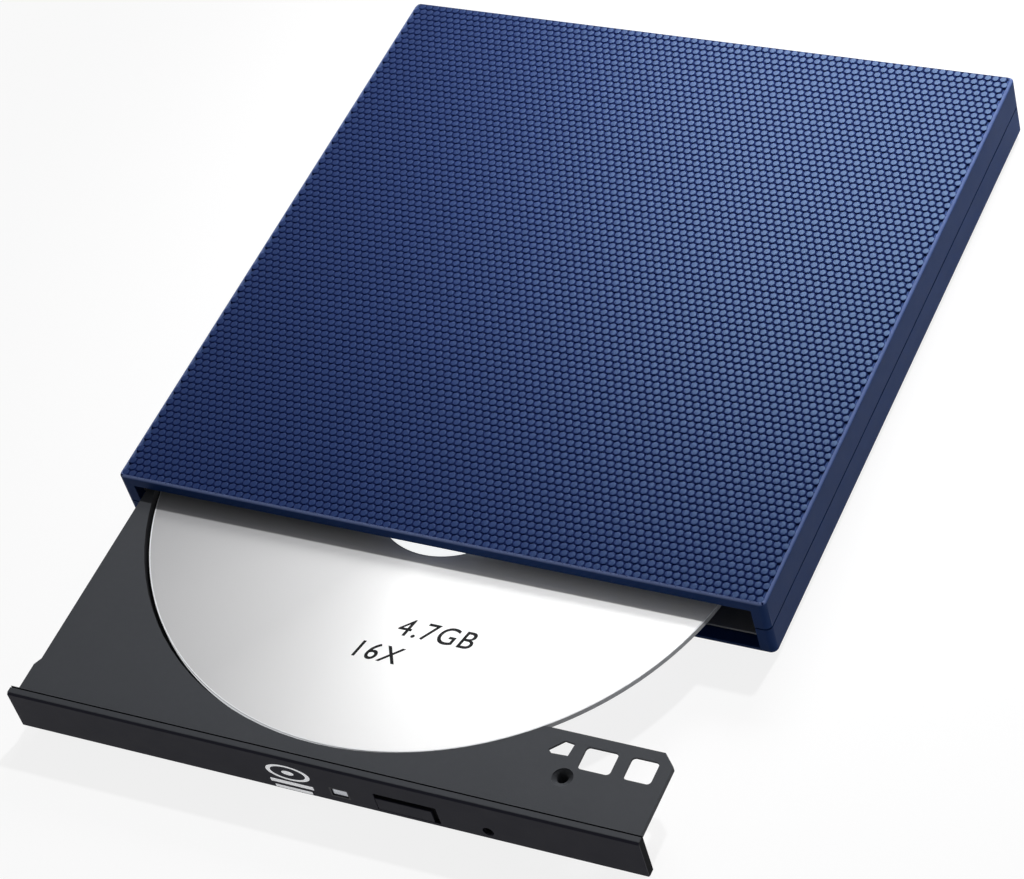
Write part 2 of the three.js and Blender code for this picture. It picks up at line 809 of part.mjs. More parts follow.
function tray() {
  const wallBottom = trayUnder - frontWallDrop;
  const frontSkin = box(-frontWallHalf, frontWallHalf, trayFront, trayFront + traySkin, wallBottom,
    rimBottom + rimThick / 2);
  const pushPad = box(pushPadLeft, pushPadLeft + pushPadWidth, trayBack - traySkin, trayBack,
    trayUnder - pushPadDrop, trayUnder + recessFloor / 2);
  const body = join(rimPlate(), trayTub(), ...trayRunners(), ...trayPosts(), frontSkin, pushPad);
  const under = trayUnder - overrun;
  const over = trayTop + overrun;
  const boardBay = box(boardBayLeft, boardBayLeft + boardBayWidth, trayFront - overrun,
    trayFront + traySkin + overrun, wallBottom - overrun, recessTop);
  const emergencyBore = rodAlongY(emergencyX, bezelRise + emergencyRise, trayFront - overrun,
    trayFront + traySkin + overrun, emergencyRadius + gap);
  const damperHoles = damperPlaces.map(([x, y]) =>
    onMechanism(post(x, y, under, over, damperShankRadius + gap)));
  return cut(body,
    acrossDisc(recessRadius, recessTop, over),
    acrossDisc(hubHoleRadius, under, over, medium),
    onMechanism(box(sledSlotStart, sledSlotEnd, -sledSlotHalf, sledSlotHalf, under, over)),
    post(wingHoleX, wingHoleY, trayTop - wingHoleDeep, over, wingHoleRadius),
    boardBay, emergencyBore, ...damperHoles, ...wingWindows());
}

function trayBottomPlate() {
  return cut(
    box(-plateLeft, plateRight, plateFront, plateBack, plateBottom, plateTop),
    openUnderDisc(plateBottom - overrun, plateTop + overrun));
}

// Bezel, button, window and the board behind them

const buttonBottom = bezelRise + buttonRise;
const ledBottom = bezelRise + ledRise;

function bezel() {
  const half = bezelWidth / 2;
  const section = polygon([[bezelThick, bezelRise], [bezelThick, bezelTop], [bezelChamfer, bezelTop],
    [0, bezelTop - bezelChamfer], [0, bezelRise + bezelChamfer], [bezelChamfer, bezelRise]]);
  return cut(
    barAlongX(section, -half, half),
    box(ledX - seatGap, ledX + ledWidth + seatGap, -overrun, bezelThick + overrun,
      ledBottom - seatGap, ledBottom + ledHeight + seatGap),
    box(buttonX - seatGap, buttonX + buttonWidth + buttonGroove, -overrun, bezelThick + overrun,
      buttonBottom - seatGap, buttonBottom + buttonHeight + buttonGroove),
    rodAlongY(emergencyX, bezelRise + emergencyRise, -overrun, bezelThick + overrun, emergencyRadius));
}

function ledWindow() {
  return box(ledX, ledX + ledWidth, ledSunk, bezelThick - seatGap, ledBottom, ledBottom + ledHeight);
}

function ejectButton() {
  const right = buttonX + buttonWidth;
  const top = buttonBottom + buttonHeight;
  return join(
    box(buttonX, right, 0, bezelThick + buttonStem / 2, buttonBottom, top),
    box(buttonX - buttonWing, right + buttonWing, bezelThick + seatGap, bezelThick + buttonStem,
      buttonBottom, top));
}

const trayBoardBottom = plateTop + trayBoardRise;

function trayBoard() {
  const top = trayBoardBottom + boardThick;
  const lampX = ledX + ledWidth / 2;
  return join(
    box(boardBayLeft, boardBayLeft + trayBoardWidth, trayBoardFront, trayBoardFront + trayBoardDepth,
      trayBoardBottom, top),
    box(lampX - lampWidth / 2, lampX + lampWidth / 2, trayBoardFront, trayBoardFront + lampDepth,
      top - boardThick / 2, top + lampHeight));
}

function ejectSwitch() {
  const x = buttonX + buttonWidth / 2;
  const z = trayBoardBottom + boardThick + seatGap;
  return box(x - switchWidth / 2, x + switchWidth / 2, trayBoardFront, trayBoardFront + switchDepth,
    z, z + switchHeight);
}

// Disc and spindle, round the spindle axis

const turntableTop = discBottom - padThick - 2 * seatGap;
const turntableBottom = turntableTop - turntableThick;

function disc() {
  return toGeometry(toSolid(turned([[discBore, discBottom], [discRadius, discBottom], [discRadius, discTop],
    [discBore, discTop], [discBore, discBottom]], fine)));
}

function turntablePad() {
  const z0 = turntableTop + seatGap;
  return toGeometry(toSolid(turned([[padInner, z0], [padOuter, z0], [padOuter, z0 + padThick],
    [padInner, z0 + padThick], [padInner, z0]])));
}

function spindleRotor() {
  const cupBottom = turntableBottom - rotorDrop;
  const cupInner = rotorRadius - rotorWall;
  const shaftBottom = mechFloor + motorBase + gap;
  return toGeometry(toSolid(turned([[0, shaftBottom], [shaftRadius, shaftBottom],
    [shaftRadius, turntableBottom], [cupInner, turntableBottom], [cupInner, cupBottom],
    [rotorRadius, cupBottom], [rotorRadius, turntableBottom], [turntableRadius, turntableBottom],
    [turntableRadius, turntableTop], [0, turntableTop]])));
}

function spindleMotor() {
  const base = mechFloor + motorBase;
  const rimTop = mechBottom - gap;
  const statorTop = turntableBottom - slideGap;
  const rimInner = motorRadius - motorRimThick;
  return toGeometry(toSolid(turned([[0, mechFloor], [motorRadius, mechFloor], [motorRadius, rimTop],
    [rimInner, rimTop], [rimInner, base], [statorRadius, base], [statorRadius, statorTop],
    [statorInner, statorTop], [statorInner, base], [0, base]])));
}

const clawBottom = discTop - clawProud;
const clawNoseBottom = discTop + seatGap;
const clawTurns = Array.from({ length: clawCount }, (_, count) => count * 2 * Math.PI / clawCount);

function hub() {
  const z0 = turntableTop + seatGap;
  const top = discTop + hubProud;
  const crown = hubRadius - hubCrown;
  const body = turned([[0, z0], [hubRadius, z0], [hubRadius, top - hubProud], [crown, top], [0, top]]);
  const half = clawWidth / 2 + seatGap;
  const slots = clawTurns.map((turn) =>
    box(clawInner - clawProud - gap, hubRadius + overrun, -half, half, clawBottom - seatGap, top + overrun)
      .rotateZ(turn));
  return cut(body, ...slots);
}

function hubClaw(turn) {
  const half = clawWidth / 2;
  const top = clawNoseBottom + clawThick;
  return join(
    box(clawInner, hubRadius - seatGap, -half, half, clawBottom, top),
    box(clawInner, hubRadius + clawProud, -half, half, clawNoseBottom, top)).rotateZ(turn);
}

// Pickup mechanism: x runs from the spindle to the front left, y to the front right

const sledTop = mechTop - seatGap;
const screwBoreRadius = screwRadius + gap;
const rodBoreRadius = rodRadius + gap;
const rodStart = mechWindowStart - rodHold;
const rodEnd = mechWindowEnd + rodHold;

function mechanismPlate() {
  const z0 = mechBottom - overrun;
  const z1 = mechTop + overrun;
  const ears = damperPlaces.map(([x, y]) => post(x, y, mechBottom, mechTop, earRadius));
  const blockZ = mechBottom + mechThick / 2;
  const sides = [-rodLeft, rodRight];
  const farSides = [...sides, screwSide];
  const startBlocks = sides.map((y) => box(rodStart - gap - traySkin / 2, mechWindowStart, y - rodBlockHalf,
    y + rodBlockHalf, mechFloor, blockZ));
  const endBlocks = farSides.map((y) => box(mechWindowEnd, mechEnd, y - rodBlockHalf, y + rodBlockHalf,
    mechFloor, blockZ));
  const startBores = sides.map((y) => rodAlongX(y, rodAxisZ, rodStart - gap, mechWindowStart + overrun,
    rodBoreRadius));
  const endBores = farSides.map((y) => rodAlongX(y, rodAxisZ, mechWindowEnd - overrun, rodEnd + gap,
    rodBoreRadius));
  const plate = join(box(mechStart, mechEnd, -mechLeft, mechRight, mechBottom, mechTop),
    ...ears, ...startBlocks, ...endBlocks);
  const stepperHalf = stepperWidth / 2 + gap;
  return cut(plate,
    post(0, 0, z0, z1, rotorHoleRadius, medium),
    box(mechWindowStart, mechWindowEnd, -mechWindowLeft, mechWindowRight, z0, z1),
    box(stepperStart - gap, stepperEnd + gap, screwSide - stepperHalf, screwSide + stepperHalf, z0, z1),
    box(stepperEnd, mechWindowStart + gap, screwSide - screwBoreRadius, screwSide + screwBoreRadius, z0, z1),
    ...damperPlaces.map(([x, y]) => post(x, y, z0, z1, damperWaist + gap)),
    ...startBores, ...endBores);
}

function guideRod(y) {
  return rodAlongX(y, rodAxisZ, rodStart, rodEnd, rodRadius);
}

function leadScrew() {
  return rodAlongX(screwSide, rodAxisZ, stepperEnd + seatGap, rodEnd, screwRadius);
}

function sledMotor() {
  const half = stepperWidth / 2;
  return box(stepperStart, stepperEnd, screwSide - half, screwSide + half, mechFloor, sledTop);
}

function pickupSled() {
  const left = -rodLeft - rodBoreRadius - sledEdge;
  const right = screwSide + screwBoreRadius + sledEdge;
  const pocket = lensHolderHalf + slideGap;
  const pocketSide = lensHolderSide + slideGap;
  const bores = [-rodLeft, rodRight, screwSide].map((y) =>
    rodAlongX(y, rodAxisZ, -sledHalf - overrun, sledHalf + overrun, rodBoreRadius));
  return cut(
    box(-sledHalf, sledHalf, left, right, mechFloor, sledTop),
    box(-pocket, pocket, -pocketSide, pocketSide, sledTop - sledPocketDeep, sledTop + overrun),
    ...bores);
}

const holderBottom = sledTop - lensHolderSunk;
const holderTop = holderBottom + lensHolderThick;

function lensHolder() {
  return cut(
    box(-lensHolderHalf, lensHolderHalf, -lensHolderSide, lensHolderSide, holderBottom, holderTop),
    post(0, 0, holderBottom - overrun, holderTop + overrun, lensRadius + seatGap, medium));
}

function lens() {
  const z0 = holderBottom + seatGap;
  const top = holderTop + lensRise;
  return toGeometry(toSolid(turned([[0, z0], [lensRadius, z0], [lensRadius, holderTop],
    [lensRadius / 2, top - lensRise / 4], [0, top]], coarse)));
}

function damper() {
  const flangeTop = mechBottom - seatGap;
  const z0 = flangeTop - damperFlange;
  const top = mechTop + seatGap;
  return toGeometry(toSolid(turned([[damperBore, z0], [damperRadius, z0], [damperRadius, flangeTop],
    [damperWaist, flangeTop], [damperWaist, top], [damperBore, top], [damperBore, z0]], coarse)));
}

function damperScrew() {
  const headTop = mechBottom - damperFlange - 2 * seatGap;
  const z0 = headTop - damperHeadThick;
  return toGeometry(toSolid(turned([[0, z0], [damperHeadRadius, z0], [damperHeadRadius, headTop],
    [damperShankRadius, headTop], [damperShankRadius, recessTop], [0, recessTop]], coarse)));
}

// Latch and ejector

const latchPinY = leverY + leverLength - toothDepth - gap - latchPinRadius;

function latchLever() {
  const z1 = leverBottom + leverThick;
  return cut(
    join(
      post(0, 0, leverBottom, z1, leverEye),
      box(-leverHalf, leverHalf, 0, leverLength, leverBottom, z1),
      box(0, leverTooth, leverLength - toothDepth, leverLength, leverBottom, z1)),
    post(0, 0, leverBottom - overrun, z1 + overrun, pivotRadius + gap));
}

function latchPin() {
  const z0 = panTop + seatGap;
  return toGeometry(toSolid(turned([[0, z0], [latchPinBase, z0], [latchPinBase, z0 + latchPinFlange],
    [latchPinRadius, z0 + latchPinFlange], [latchPinRadius, z0 + latchPinHeight], [0, z0 + latchPinHeight]],
  coarse)));
}

function latchSolenoid() {
  const top = rimBottom - gap;
  return box(solenoidX, solenoidX + solenoidWidth, solenoidFront, solenoidFront + solenoidDepth,
    top - solenoidDrop, top);
}

function ejectorPin() {
  return rodAlongY(ejectorX, ejectorZ, ejectorTip, ejectorTip + ejectorLength, ejectorRadius);
}

// Assembly

const mainFrame = new THREE.Group();
mainFrame.position.set(0, -(caseDepth - drawerOut) / 2, footProud);

const drawer = new THREE.Group();
drawer.position.set(0, -drawerOut, 0);

const rails = new THREE.Group();
rails.position.set(0, -drawerOut * slideShare, 0);

const mechanism = new THREE.Group();
mechanism.position.set(discX, discY, 0);
mechanism.rotation.z = mechTurn;

const carriage = new THREE.Group();
carriage.position.set(sledPark, 0, 0);

const latch = new THREE.Group();
latch.position.set(leverX, leverY, 0);
latch.rotation.z = THREE.MathUtils.degToRad(leverRelease);

function moved(mesh, x, y) {
  mesh.position.set(x, y, 0);
  return mesh;
}

mainFrame.add(
  part('top_cover', 'caseBlue', topCover()),
  part('bottom_cover', 'caseBlue', bottomCover()),
  ...footPlaces.map(([name, x, y]) =>
    part(`foot_${name}`, 'rubber', post(x, y, -footProud, footRecess - seatGap, footRadius, medium))),
  ...bossPlaces.map(([name, x, y]) => part(`case_screw_${name}`, 'steel', caseScrew(x, y))),
  part('bridge_board', 'boardGreen', bridgeBoard()),
  part('usb_socket', 'steel', usbSocket()),
  part('usb_tongue', 'blackPlastic', usbTongue()),
  part('data_plug', 'blackPlastic', dataPlug()),
  part('data_socket', 'blackPlastic', dataSocket()),
  part('drive_chassis', 'zincSteel', driveChassis()),
  part('drive_lid', 'zincSteel', driveLid()),
  ...drivePosts.map(([x, y], count) => part(`lid_screw_${count + 1}`, 'steel', lidScrew(x, y))),
  part('main_board', 'boardGreen', mainBoard()),
  part('flex_cable', 'flexOrange', flexCable()),
  part('guide_left', 'blackPlastic', guide(leftTrack)),
  part('guide_right', 'blackPlastic', guide(rightTrack)),
  moved(part('latch_pin', 'steel', latchPin()), latchPinX, latchPinY),
  part('ejector_pin', 'whitePlastic', ejectorPin()),
  rails, drawer);

rails.add(
  part('rail_left', 'steel', rail(leftTrack)),
  part('rail_right', 'steel', rail(rightTrack)));

drawer.add(
  part('tray', 'trayGrey', tray()),
  part('tray_bottom_plate', 'zincSteel', trayBottomPlate()),
  part('bezel', 'bezelNavy', bezel()),
  part('eject_button', 'bezelNavy', ejectButton()),
  part('led_window', 'whitePlastic', ledWindow()),
  part('tray_board', 'boardGreen', trayBoard()),
  part('eject_switch', 'blackPlastic', ejectSwitch()),
  part('latch_solenoid', 'darkSteel', latchSolenoid()),
  latch, mechanism);

latch.add(part('latch_lever', 'blackPlastic', latchLever()));

mechanism.add(
  part('mechanism_plate', 'zincSteel', mechanismPlate()),
  part('spindle_motor', 'darkSteel', spindleMotor()),
  part('spindle_rotor', 'steel', spindleRotor()),
  part('turntable_pad', 'rubber', turntablePad()),
  part('hub', 'blackPlastic', hub()),
  ...clawTurns.map((turn, count) => part(`hub_claw_${count + 1}`, 'whitePlastic', hubClaw(turn))),
  part('disc', 'discSilver', disc()),
  part('guide_rod_left', 'steel', guideRod(-rodLeft)),
  part('guide_rod_right', 'steel', guideRod(rodRight)),
  part('lead_screw', 'steel', leadScrew()),
  part('sled_motor', 'darkSteel', sledMotor()),
  ...damperPlaces.flatMap(([x, y], count) => [
    moved(part(`damper_${count + 1}`, 'rubber', damper()), x, y),
    moved(part(`damper_screw_${count + 1}`, 'steel', damperScrew()), x, y)]),
  carriage);

carriage.add(
  part('pickup_sled', 'blackPlastic', pickupSled()),
  part('lens_holder', 'blackPlastic', lensHolder()),
  part('lens', 'lensGlass', lens()));

const discDrive = new THREE.Group();
discDrive.add(mainFrame);

export default discDrive;
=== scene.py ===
"""A slim disc drive with its drawer part way out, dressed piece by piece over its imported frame.

Everything is in metres in the frame's own axes: +Z up, the drawer pulls out along -Y. Numbers in
the code are millimetres where MM follows them or where the text says so. A piece that replaces a
node of the frame stays where the node is.
"""
import json
import math

import bmesh
import bpy
from bpy.props import FloatProperty, FloatVectorProperty, PointerProperty
from mathutils import Matrix, Vector


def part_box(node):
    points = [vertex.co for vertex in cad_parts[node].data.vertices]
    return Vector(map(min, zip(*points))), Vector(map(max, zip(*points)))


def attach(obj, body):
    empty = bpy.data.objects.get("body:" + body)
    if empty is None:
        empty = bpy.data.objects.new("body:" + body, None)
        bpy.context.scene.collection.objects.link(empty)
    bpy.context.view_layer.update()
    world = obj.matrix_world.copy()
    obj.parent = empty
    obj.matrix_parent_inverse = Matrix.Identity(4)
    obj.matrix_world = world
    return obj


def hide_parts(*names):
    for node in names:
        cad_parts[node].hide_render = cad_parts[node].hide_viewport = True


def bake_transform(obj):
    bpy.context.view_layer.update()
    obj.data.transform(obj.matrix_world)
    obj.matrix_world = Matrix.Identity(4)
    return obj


bl_info = {
    "name": "Disc Drive",
    "version": (1, 0, 0),
    "blender": (4, 5, 0),
    "location": "View3D > Sidebar > Disc Drive",
    "description": "Builds the visible pieces of a slim disc drive over its frame",
    "category": "Object",
}

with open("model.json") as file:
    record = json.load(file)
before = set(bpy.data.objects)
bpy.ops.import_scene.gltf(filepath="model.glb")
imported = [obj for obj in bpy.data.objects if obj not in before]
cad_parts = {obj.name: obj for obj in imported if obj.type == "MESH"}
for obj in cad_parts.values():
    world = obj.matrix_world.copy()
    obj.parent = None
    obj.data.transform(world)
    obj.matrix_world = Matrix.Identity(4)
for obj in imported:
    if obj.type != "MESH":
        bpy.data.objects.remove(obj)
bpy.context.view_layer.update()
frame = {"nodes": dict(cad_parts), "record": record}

MM = 0.001
SIDES = ("left", "right")
BODY_OF = {
    node: body
    for body, nodes in frame["record"]["behaviour"]["bodies"].items()
    for node in nodes
}
SLOT_OF = {row["node"]: row["material_slot"] for row in frame["record"]["subparts"]}
CASE_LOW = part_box("bottom_cover")[0]
CASE_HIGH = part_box("top_cover")[1]
BEZEL_LOW, BEZEL_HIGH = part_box("bezel")
TRAY_LOW, TRAY_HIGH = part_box("tray")
DISC_LOW, DISC_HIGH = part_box("disc")
DISC_CENTRE = (DISC_LOW + DISC_HIGH) / 2
DISC_RADIUS = (DISC_HIGH.x - DISC_LOW.x) / 2


def linear(red, green, blue):
    """The linear colour of three screen values from 0 to 255."""
    return tuple(
        (value / 255 / 12.92) if value < 11 else ((value / 255 + 0.055) / 1.055) ** 2.4
        for value in (red, green, blue)
    )


def length(name, description, millimetres):
    """A property for a length."""
    return FloatProperty(
        name=name, description=description, default=millimetres * MM, min=0.0, unit="LENGTH",
        subtype="DISTANCE", precision=5,
    )


def colour(name, description, *screen):
    """A property for a colour, from its screen values."""
    return FloatVectorProperty(
        name=name, description="Colour of " + description, default=linear(*screen), size=3,
        min=0.0, max=1.0, subtype="COLOR",
    )


def power(name, description, watts):
    """A property for a lamp's power."""
    return FloatProperty(name=name, description=description, default=watts, min=0.0, unit="POWER")


# Sizes and colours that a user may change


class CaseSettings(bpy.types.PropertyGroup):
    """Sizes and colours of the case."""

    plastic: colour("Plastic", "the moulded case", 24, 45, 86)
    # The colour of a painted highlight laid along the case's top edge, strongest at the front.
    painted_edge_highlight: colour("Crest", "the case's top edge, which looks paler at the front", 122, 138, 186)
    bump_top: colour("Bump tops", "the lid where its bumps are highest", 20, 34, 78)
    # The valley colour is painted shade, darkening the lid between its bumps.
    valley: colour("Valleys", "the lid between its bumps", 9, 19, 64)
    bump_pitch: length("Bump pitch", "Distance between bumps along a row", 1.6)
    row_pitch: length("Row pitch", "Distance between rows of bumps", 1.57)
    bump_width: length("Bump width", "Width of a bump where its side falls away", 1.41)
    bump_crown: length("Bump crown", "Width of a bump's nearly flat top", 1.12)
    bump_stretch: FloatProperty(
        name="Bump stretch", description="Length of a bump over its width", default=1.12, min=0.5,
    )
    bump_height: length("Bump height", "Height of a bump over the valleys", 0.3)
    rim: length("Rim", "Width of the smooth rim round the bumps", 0.3)
    rim_gap: length("Rim gap", "Width between the rim and the first bumps", 0.1)
    rubber: colour("Feet", "the rubber feet", 26, 27, 29)


class DrawerSettings(bpy.types.PropertyGroup):
    """Sizes and colours of the drawer and its front."""

    tray: colour("Tray", "the tray", 62, 64, 68)
    bezel: colour("Bezel", "the bezel and its button", 27, 27, 37)
    lamp: colour("Lamp", "the lamp's window", 205, 208, 214)
    symbol: colour("Symbol", "the printed symbol", 238, 239, 242)
    corner: length("Corners", "How far the moulded edges are rounded", 0.12)


class DiscSettings(bpy.types.PropertyGroup):
    """Sizes and colours of the disc."""

    # light and dark are the two ends of a painted sheen on the label.
    light: colour("Light silver", "the label where it is lightest", 255, 255, 255)
    dark: colour("Dark silver", "the label where it is darkest", 160, 160, 162)
    hub_zone: length("Hub zone", "Radius of the clear zone round the bore", 15.3)
    ink: colour("Ink", "the print on the label", 12, 12, 14)
    recording: colour("Recording side", "the side that is read", 104, 92, 140)


class WorksSettings(bpy.types.PropertyGroup):
    """Colours of what is inside."""

    sheet: colour("Sheet steel", "the zinc coated sheets", 118, 120, 123)
    steel: colour("Steel", "rods and screws", 190, 192, 195)
    dark_steel: colour("Dark steel", "motors and springs", 92, 96, 102)
    board: colour("Boards", "the circuit boards", 24, 92, 56)
    copper: colour("Copper", "the cable's conductors", 190, 120, 70)
    film: colour("Film", "the flat cable", 166, 104, 40)
    brass: colour("Contacts", "contacts and pads", 214, 178, 98)
    black: colour("Black plastic", "plugs, chips and levers", 30, 30, 34)
    white: colour("White plastic", "the white plastic", 222, 224, 226)
    lens: colour("Lens", "the coated lens", 70, 92, 170)


class StageSettings(bpy.types.PropertyGroup):
    """Light and floor."""

    floor: colour("Floor", "the floor", 246, 246, 247)
    key: power("Main lamp", "Power of the high lamp behind the object", 12.6)
    sheen: power("Rear lamp", "Power of the low lamp whose sheen lies on the lid", 0.26)
    surroundings: FloatProperty(
        name="Surroundings", description="Strength of the light from all round", default=0.12,
        min=0.0,
    )


# Shader values


def arithmetic(operation, reflected=False):
    """The method for one of Python's operators, which adds a Math node."""

    def method(self, *other):
        return self.math(operation, *((*other, self) if reflected else (self, *other)))

    return method


class Shade:
    """One value of a material's nodes. Python's operators on it add Math nodes."""

    def __init__(self, tree, socket=None):
        self.tree = tree
        self.socket = socket

    def node(self, kind, options=None, inputs=None, output=0):
        """Adds a node: its options first, then the value or the link of each socket."""
        made = self.tree.nodes.new(kind)
        for name, value in (options or {}).items():
            if name == "stops":
                ramp = made.color_ramp
                while len(ramp.elements) < len(value):
                    ramp.elements.new(1.0)
                for element, (position, tint) in zip(ramp.elements, value):
                    element.position = position
                    element.color = (*tint, 1.0)
            else:
                setattr(made, name, value)
        for name, value in (inputs or {}).items():
            if isinstance(value, Shade):
                self.tree.links.new(value.socket, made.inputs[name])
            else:
                made.inputs[name].default_value = value
        return Shade(self.tree, made.outputs[output] if made.outputs else None)

    def math(self, operation, *terms):
        return self.node("ShaderNodeMath", {"operation": operation}, dict(enumerate(terms)))

    __add__ = arithmetic("ADD")
    __radd__ = arithmetic("ADD", reflected=True)
    __sub__ = arithmetic("SUBTRACT")
    __rsub__ = arithmetic("SUBTRACT", reflected=True)
    __mul__ = arithmetic("MULTIPLY")
    __rmul__ = arithmetic("MULTIPLY", reflected=True)
    __truediv__ = arithmetic("DIVIDE")
    __mod__ = arithmetic("FLOORED_MODULO")
    __gt__ = arithmetic("GREATER_THAN")
    __lt__ = arithmetic("LESS_THAN")
    __abs__ = arithmetic("ABSOLUTE")

    def axes(self):
        """The three numbers of this vector."""
        parts = self.node("ShaderNodeSeparateXYZ", None, {0: self})
        return [Shade(self.tree, out) for out in parts.socket.node.outputs]


def place(shade):
    """The point on the piece, in metres in the frame's axes."""
    return shade.node("ShaderNodeTexCoord", output="Object")


def noise(shade, size, detail=3.0, stretch=(1, 1, 1)):
    """Noise from 0 to 1, with features about size across and longer where stretch is above 1."""
    scale = tuple(1 / (size * share) for share in stretch)
    point = shade.node("ShaderNodeMapping", None, {0: place(shade), 3: scale})
    return shade.node("ShaderNodeTexNoise", None, {"Vector": point, "Scale": 1.0, "Detail": detail})


def cells(shade, scale):
    """The distance from the nearest of many scattered points."""
    return shade.node("ShaderNodeTexVoronoi", None, {"Vector": place(shade), "Scale": scale})


def rise(shade, value, low, high, kind="LINEAR"):
    """0 where value is low and 1 where it is high."""
    return shade.node(
        "ShaderNodeMapRange", {"interpolation_type": kind}, {0: value, 1: low, 2: high}
    )


def between(value, low, high):
    """1 where value lies between low and high, and 0 elsewhere."""
    return (value > low) * (value < high)


def blend(shade, share, first, second):
    """first where share is 0 and second where it is 1."""
    first, second = (
        tint if isinstance(tint, Shade) else (*tint[:3], 1.0) for tint in (first, second)
    )
    return shade.node(
        "ShaderNodeMix", {"data_type": "RGBA"}, {0: share, 6: first, 7: second}, output=2
    )


def shift(shade, tint, amount, size=6 * MM):
    """A colour that varies a little from place to place, as moulded and coated surfaces do."""
    darker = tuple(value * (1 - amount) for value in tint)
    lighter = tuple(min(1.0, value * (1 + amount)) for value in tint)
    return blend(shade, noise(shade, size, 4.0), darker, lighter)


def relief(shade, height, depth):
    """A bumped normal from a height of 0 to 1 that stands for depth in metres."""
    return shade.node("ShaderNodeBump", None, {"Height": height, "Distance": depth})


def surface(shade, tint, roughness, bump, metallic=0.0, **fixed):
    """A Principled surface, flat where bump is None. fixed holds its other sockets, by name."""
    inputs = {"Base Color": tint, "Roughness": roughness, "Metallic": metallic}
    if bump is not None:
        inputs["Normal"] = bump
    inputs.update({name.replace("_", " "): value for name, value in fixed.items()})
    return shade.node("ShaderNodeBsdfPrincipled", None, inputs)


def cleared(made):
    """The node tree of a new material or world, with nothing in it yet."""
    made.use_nodes = True
    made.node_tree.nodes.clear()
    return Shade(made.node_tree)


def new_material(name, paint):
    """A material whose surface is what paint returns."""
    made = bpy.data.materials.new(name)
    shade = cleared(made)
    shade.node("ShaderNodeOutputMaterial", None, {"Surface": paint(shade)})
    return made


# Finishes, each made once


def settings():
    """All the sizes and colours."""
    return bpy.context.scene.disc_drive


def even(tone, shifts, grains, rough, depth, metallic=0.0, **fixed):
    """A finish that is the same all over: a setting's colour, and a fine grain.

    shifts holds how much the colour varies and how far apart, grains the size, detail and stretch
    of the grain, rough the roughness and what the grain adds to it, and depth the grain's depth.
    """

    def paint(shade):
        grain = noise(shade, *grains)
        tint = shift(shade, settings().path_resolve(tone), *shifts)
        return surface(
            shade, tint, rough[0] + rough[1] * grain, relief(shade, grain, depth), metallic, **fixed
        )

    return paint


def paint_case(shade):
    """Moulded plastic, with a painted highlight along the top edge, strongest at the front."""
    case = settings().case
    _, along, height = place(shade).axes()
    # Painted highlight: a paler colour over the top 0.5 mm of the case, full along the front edge
    # and half elsewhere.
    painted_edge_highlight = rise(shade, height, CASE_HIGH.z - 0.5 * MM, CASE_HIGH.z - 0.2 * MM)
    front = rise(shade, along, CASE_LOW.y + 1.4 * MM, CASE_LOW.y + 0.6 * MM)
    tint = blend(
        shade, painted_edge_highlight * (0.5 + 0.5 * front), shift(shade, case.plastic, 0.06), case.painted_edge_highlight
    )
    grain = noise(shade, 0.22 * MM, 2.0)
    return surface(
        shade, tint, 0.42 + 0.1 * noise(shade, 3 * MM), relief(shade, grain, 0.012 * MM),
        Specular_IOR_Level=0.03, Specular_Tint=(*linear(150, 188, 255), 1.0),
    )


def paint_lid(shade):
    """The field of bumps, smoother towards their tops, with painted shade that darkens the valleys
    between them.
    """
    case = settings().case
    height = place(shade).axes()[2]
    foot, crown = (CASE_HIGH.z - share * case.bump_height for share in (0.3, 0.02))
    # Painted shade: the colour darkens from the bump tops down into the valleys.
    share = rise(shade, height, foot, crown, "SMOOTHSTEP")
    tint = blend(shade, share, case.valley, shift(shade, case.bump_top, 0.07))
    grain = noise(shade, 0.12 * MM, 2.0)
    return surface(
        shade, tint, 0.8 - 0.45 * share + 0.06 * noise(shade, 2 * MM),
        relief(shade, grain, 0.006 * MM), Specular_IOR_Level=0.2,
        Specular_Tint=(*linear(158, 214, 255), 1.0),
    )


def paint_tray(shade):
    """Fine grained, with painted shade that turns the wall of the hollow beside the disc near
    black.
    """
    grain = noise(shade, 0.16 * MM, 3.0)
    across, _, height = place(shade).axes()
    _, _, radius = from_spindle(shade)
    # Painted shade: the wall of the hollow round the disc is coloured near black.
    painted_well_shade = between(radius, DISC_RADIUS - 1.0 * MM, DISC_RADIUS + 1.6 * MM)
    painted_well_shade = painted_well_shade * (height < TRAY_HIGH.z - 0.12 * MM) * (across > TRAY_LOW.x + 1.3 * MM)
    tint = shift(shade, settings().drawer.tray, 0.05, 1.2 * MM)
    tint = blend(shade, painted_well_shade, tint, linear(10, 10, 13))
    return surface(
        shade, tint, 0.6 + 0.12 * noise(shade, 9 * MM, 3.0), relief(shade, grain, 0.014 * MM),
        Specular_IOR_Level=0.12,
    )


def paint_bezel(shade):
    """A dark front, a lip on top in the tray's colour, and painted shade, near black, wherever it
    is recessed.
    """
    drawer = settings().drawer
    _, depth, height = place(shade).axes()
    lip = rise(shade, height, BEZEL_HIGH.z - 0.1 * MM, BEZEL_HIGH.z - 0.02 * MM)
    # Painted shade: parts set back more than 0.3 mm behind the front face and below the lip are
    # coloured near black.
    sunk = (depth > BEZEL_LOW.y + 0.3 * MM) * (height < BEZEL_HIGH.z - 0.15 * MM)
    tint = blend(shade, lip, shift(shade, drawer.bezel, 0.06, 3 * MM), drawer.tray)
    tint = blend(shade, sunk, tint, linear(8, 8, 12))
    grain = noise(shade, 0.2 * MM, 2.0)
    return surface(
        shade, tint, 0.46 + 0.1 * noise(shade, 4 * MM) + 0.3 * sunk,
        relief(shade, grain, 0.008 * MM), Specular_IOR_Level=0.08,
    )


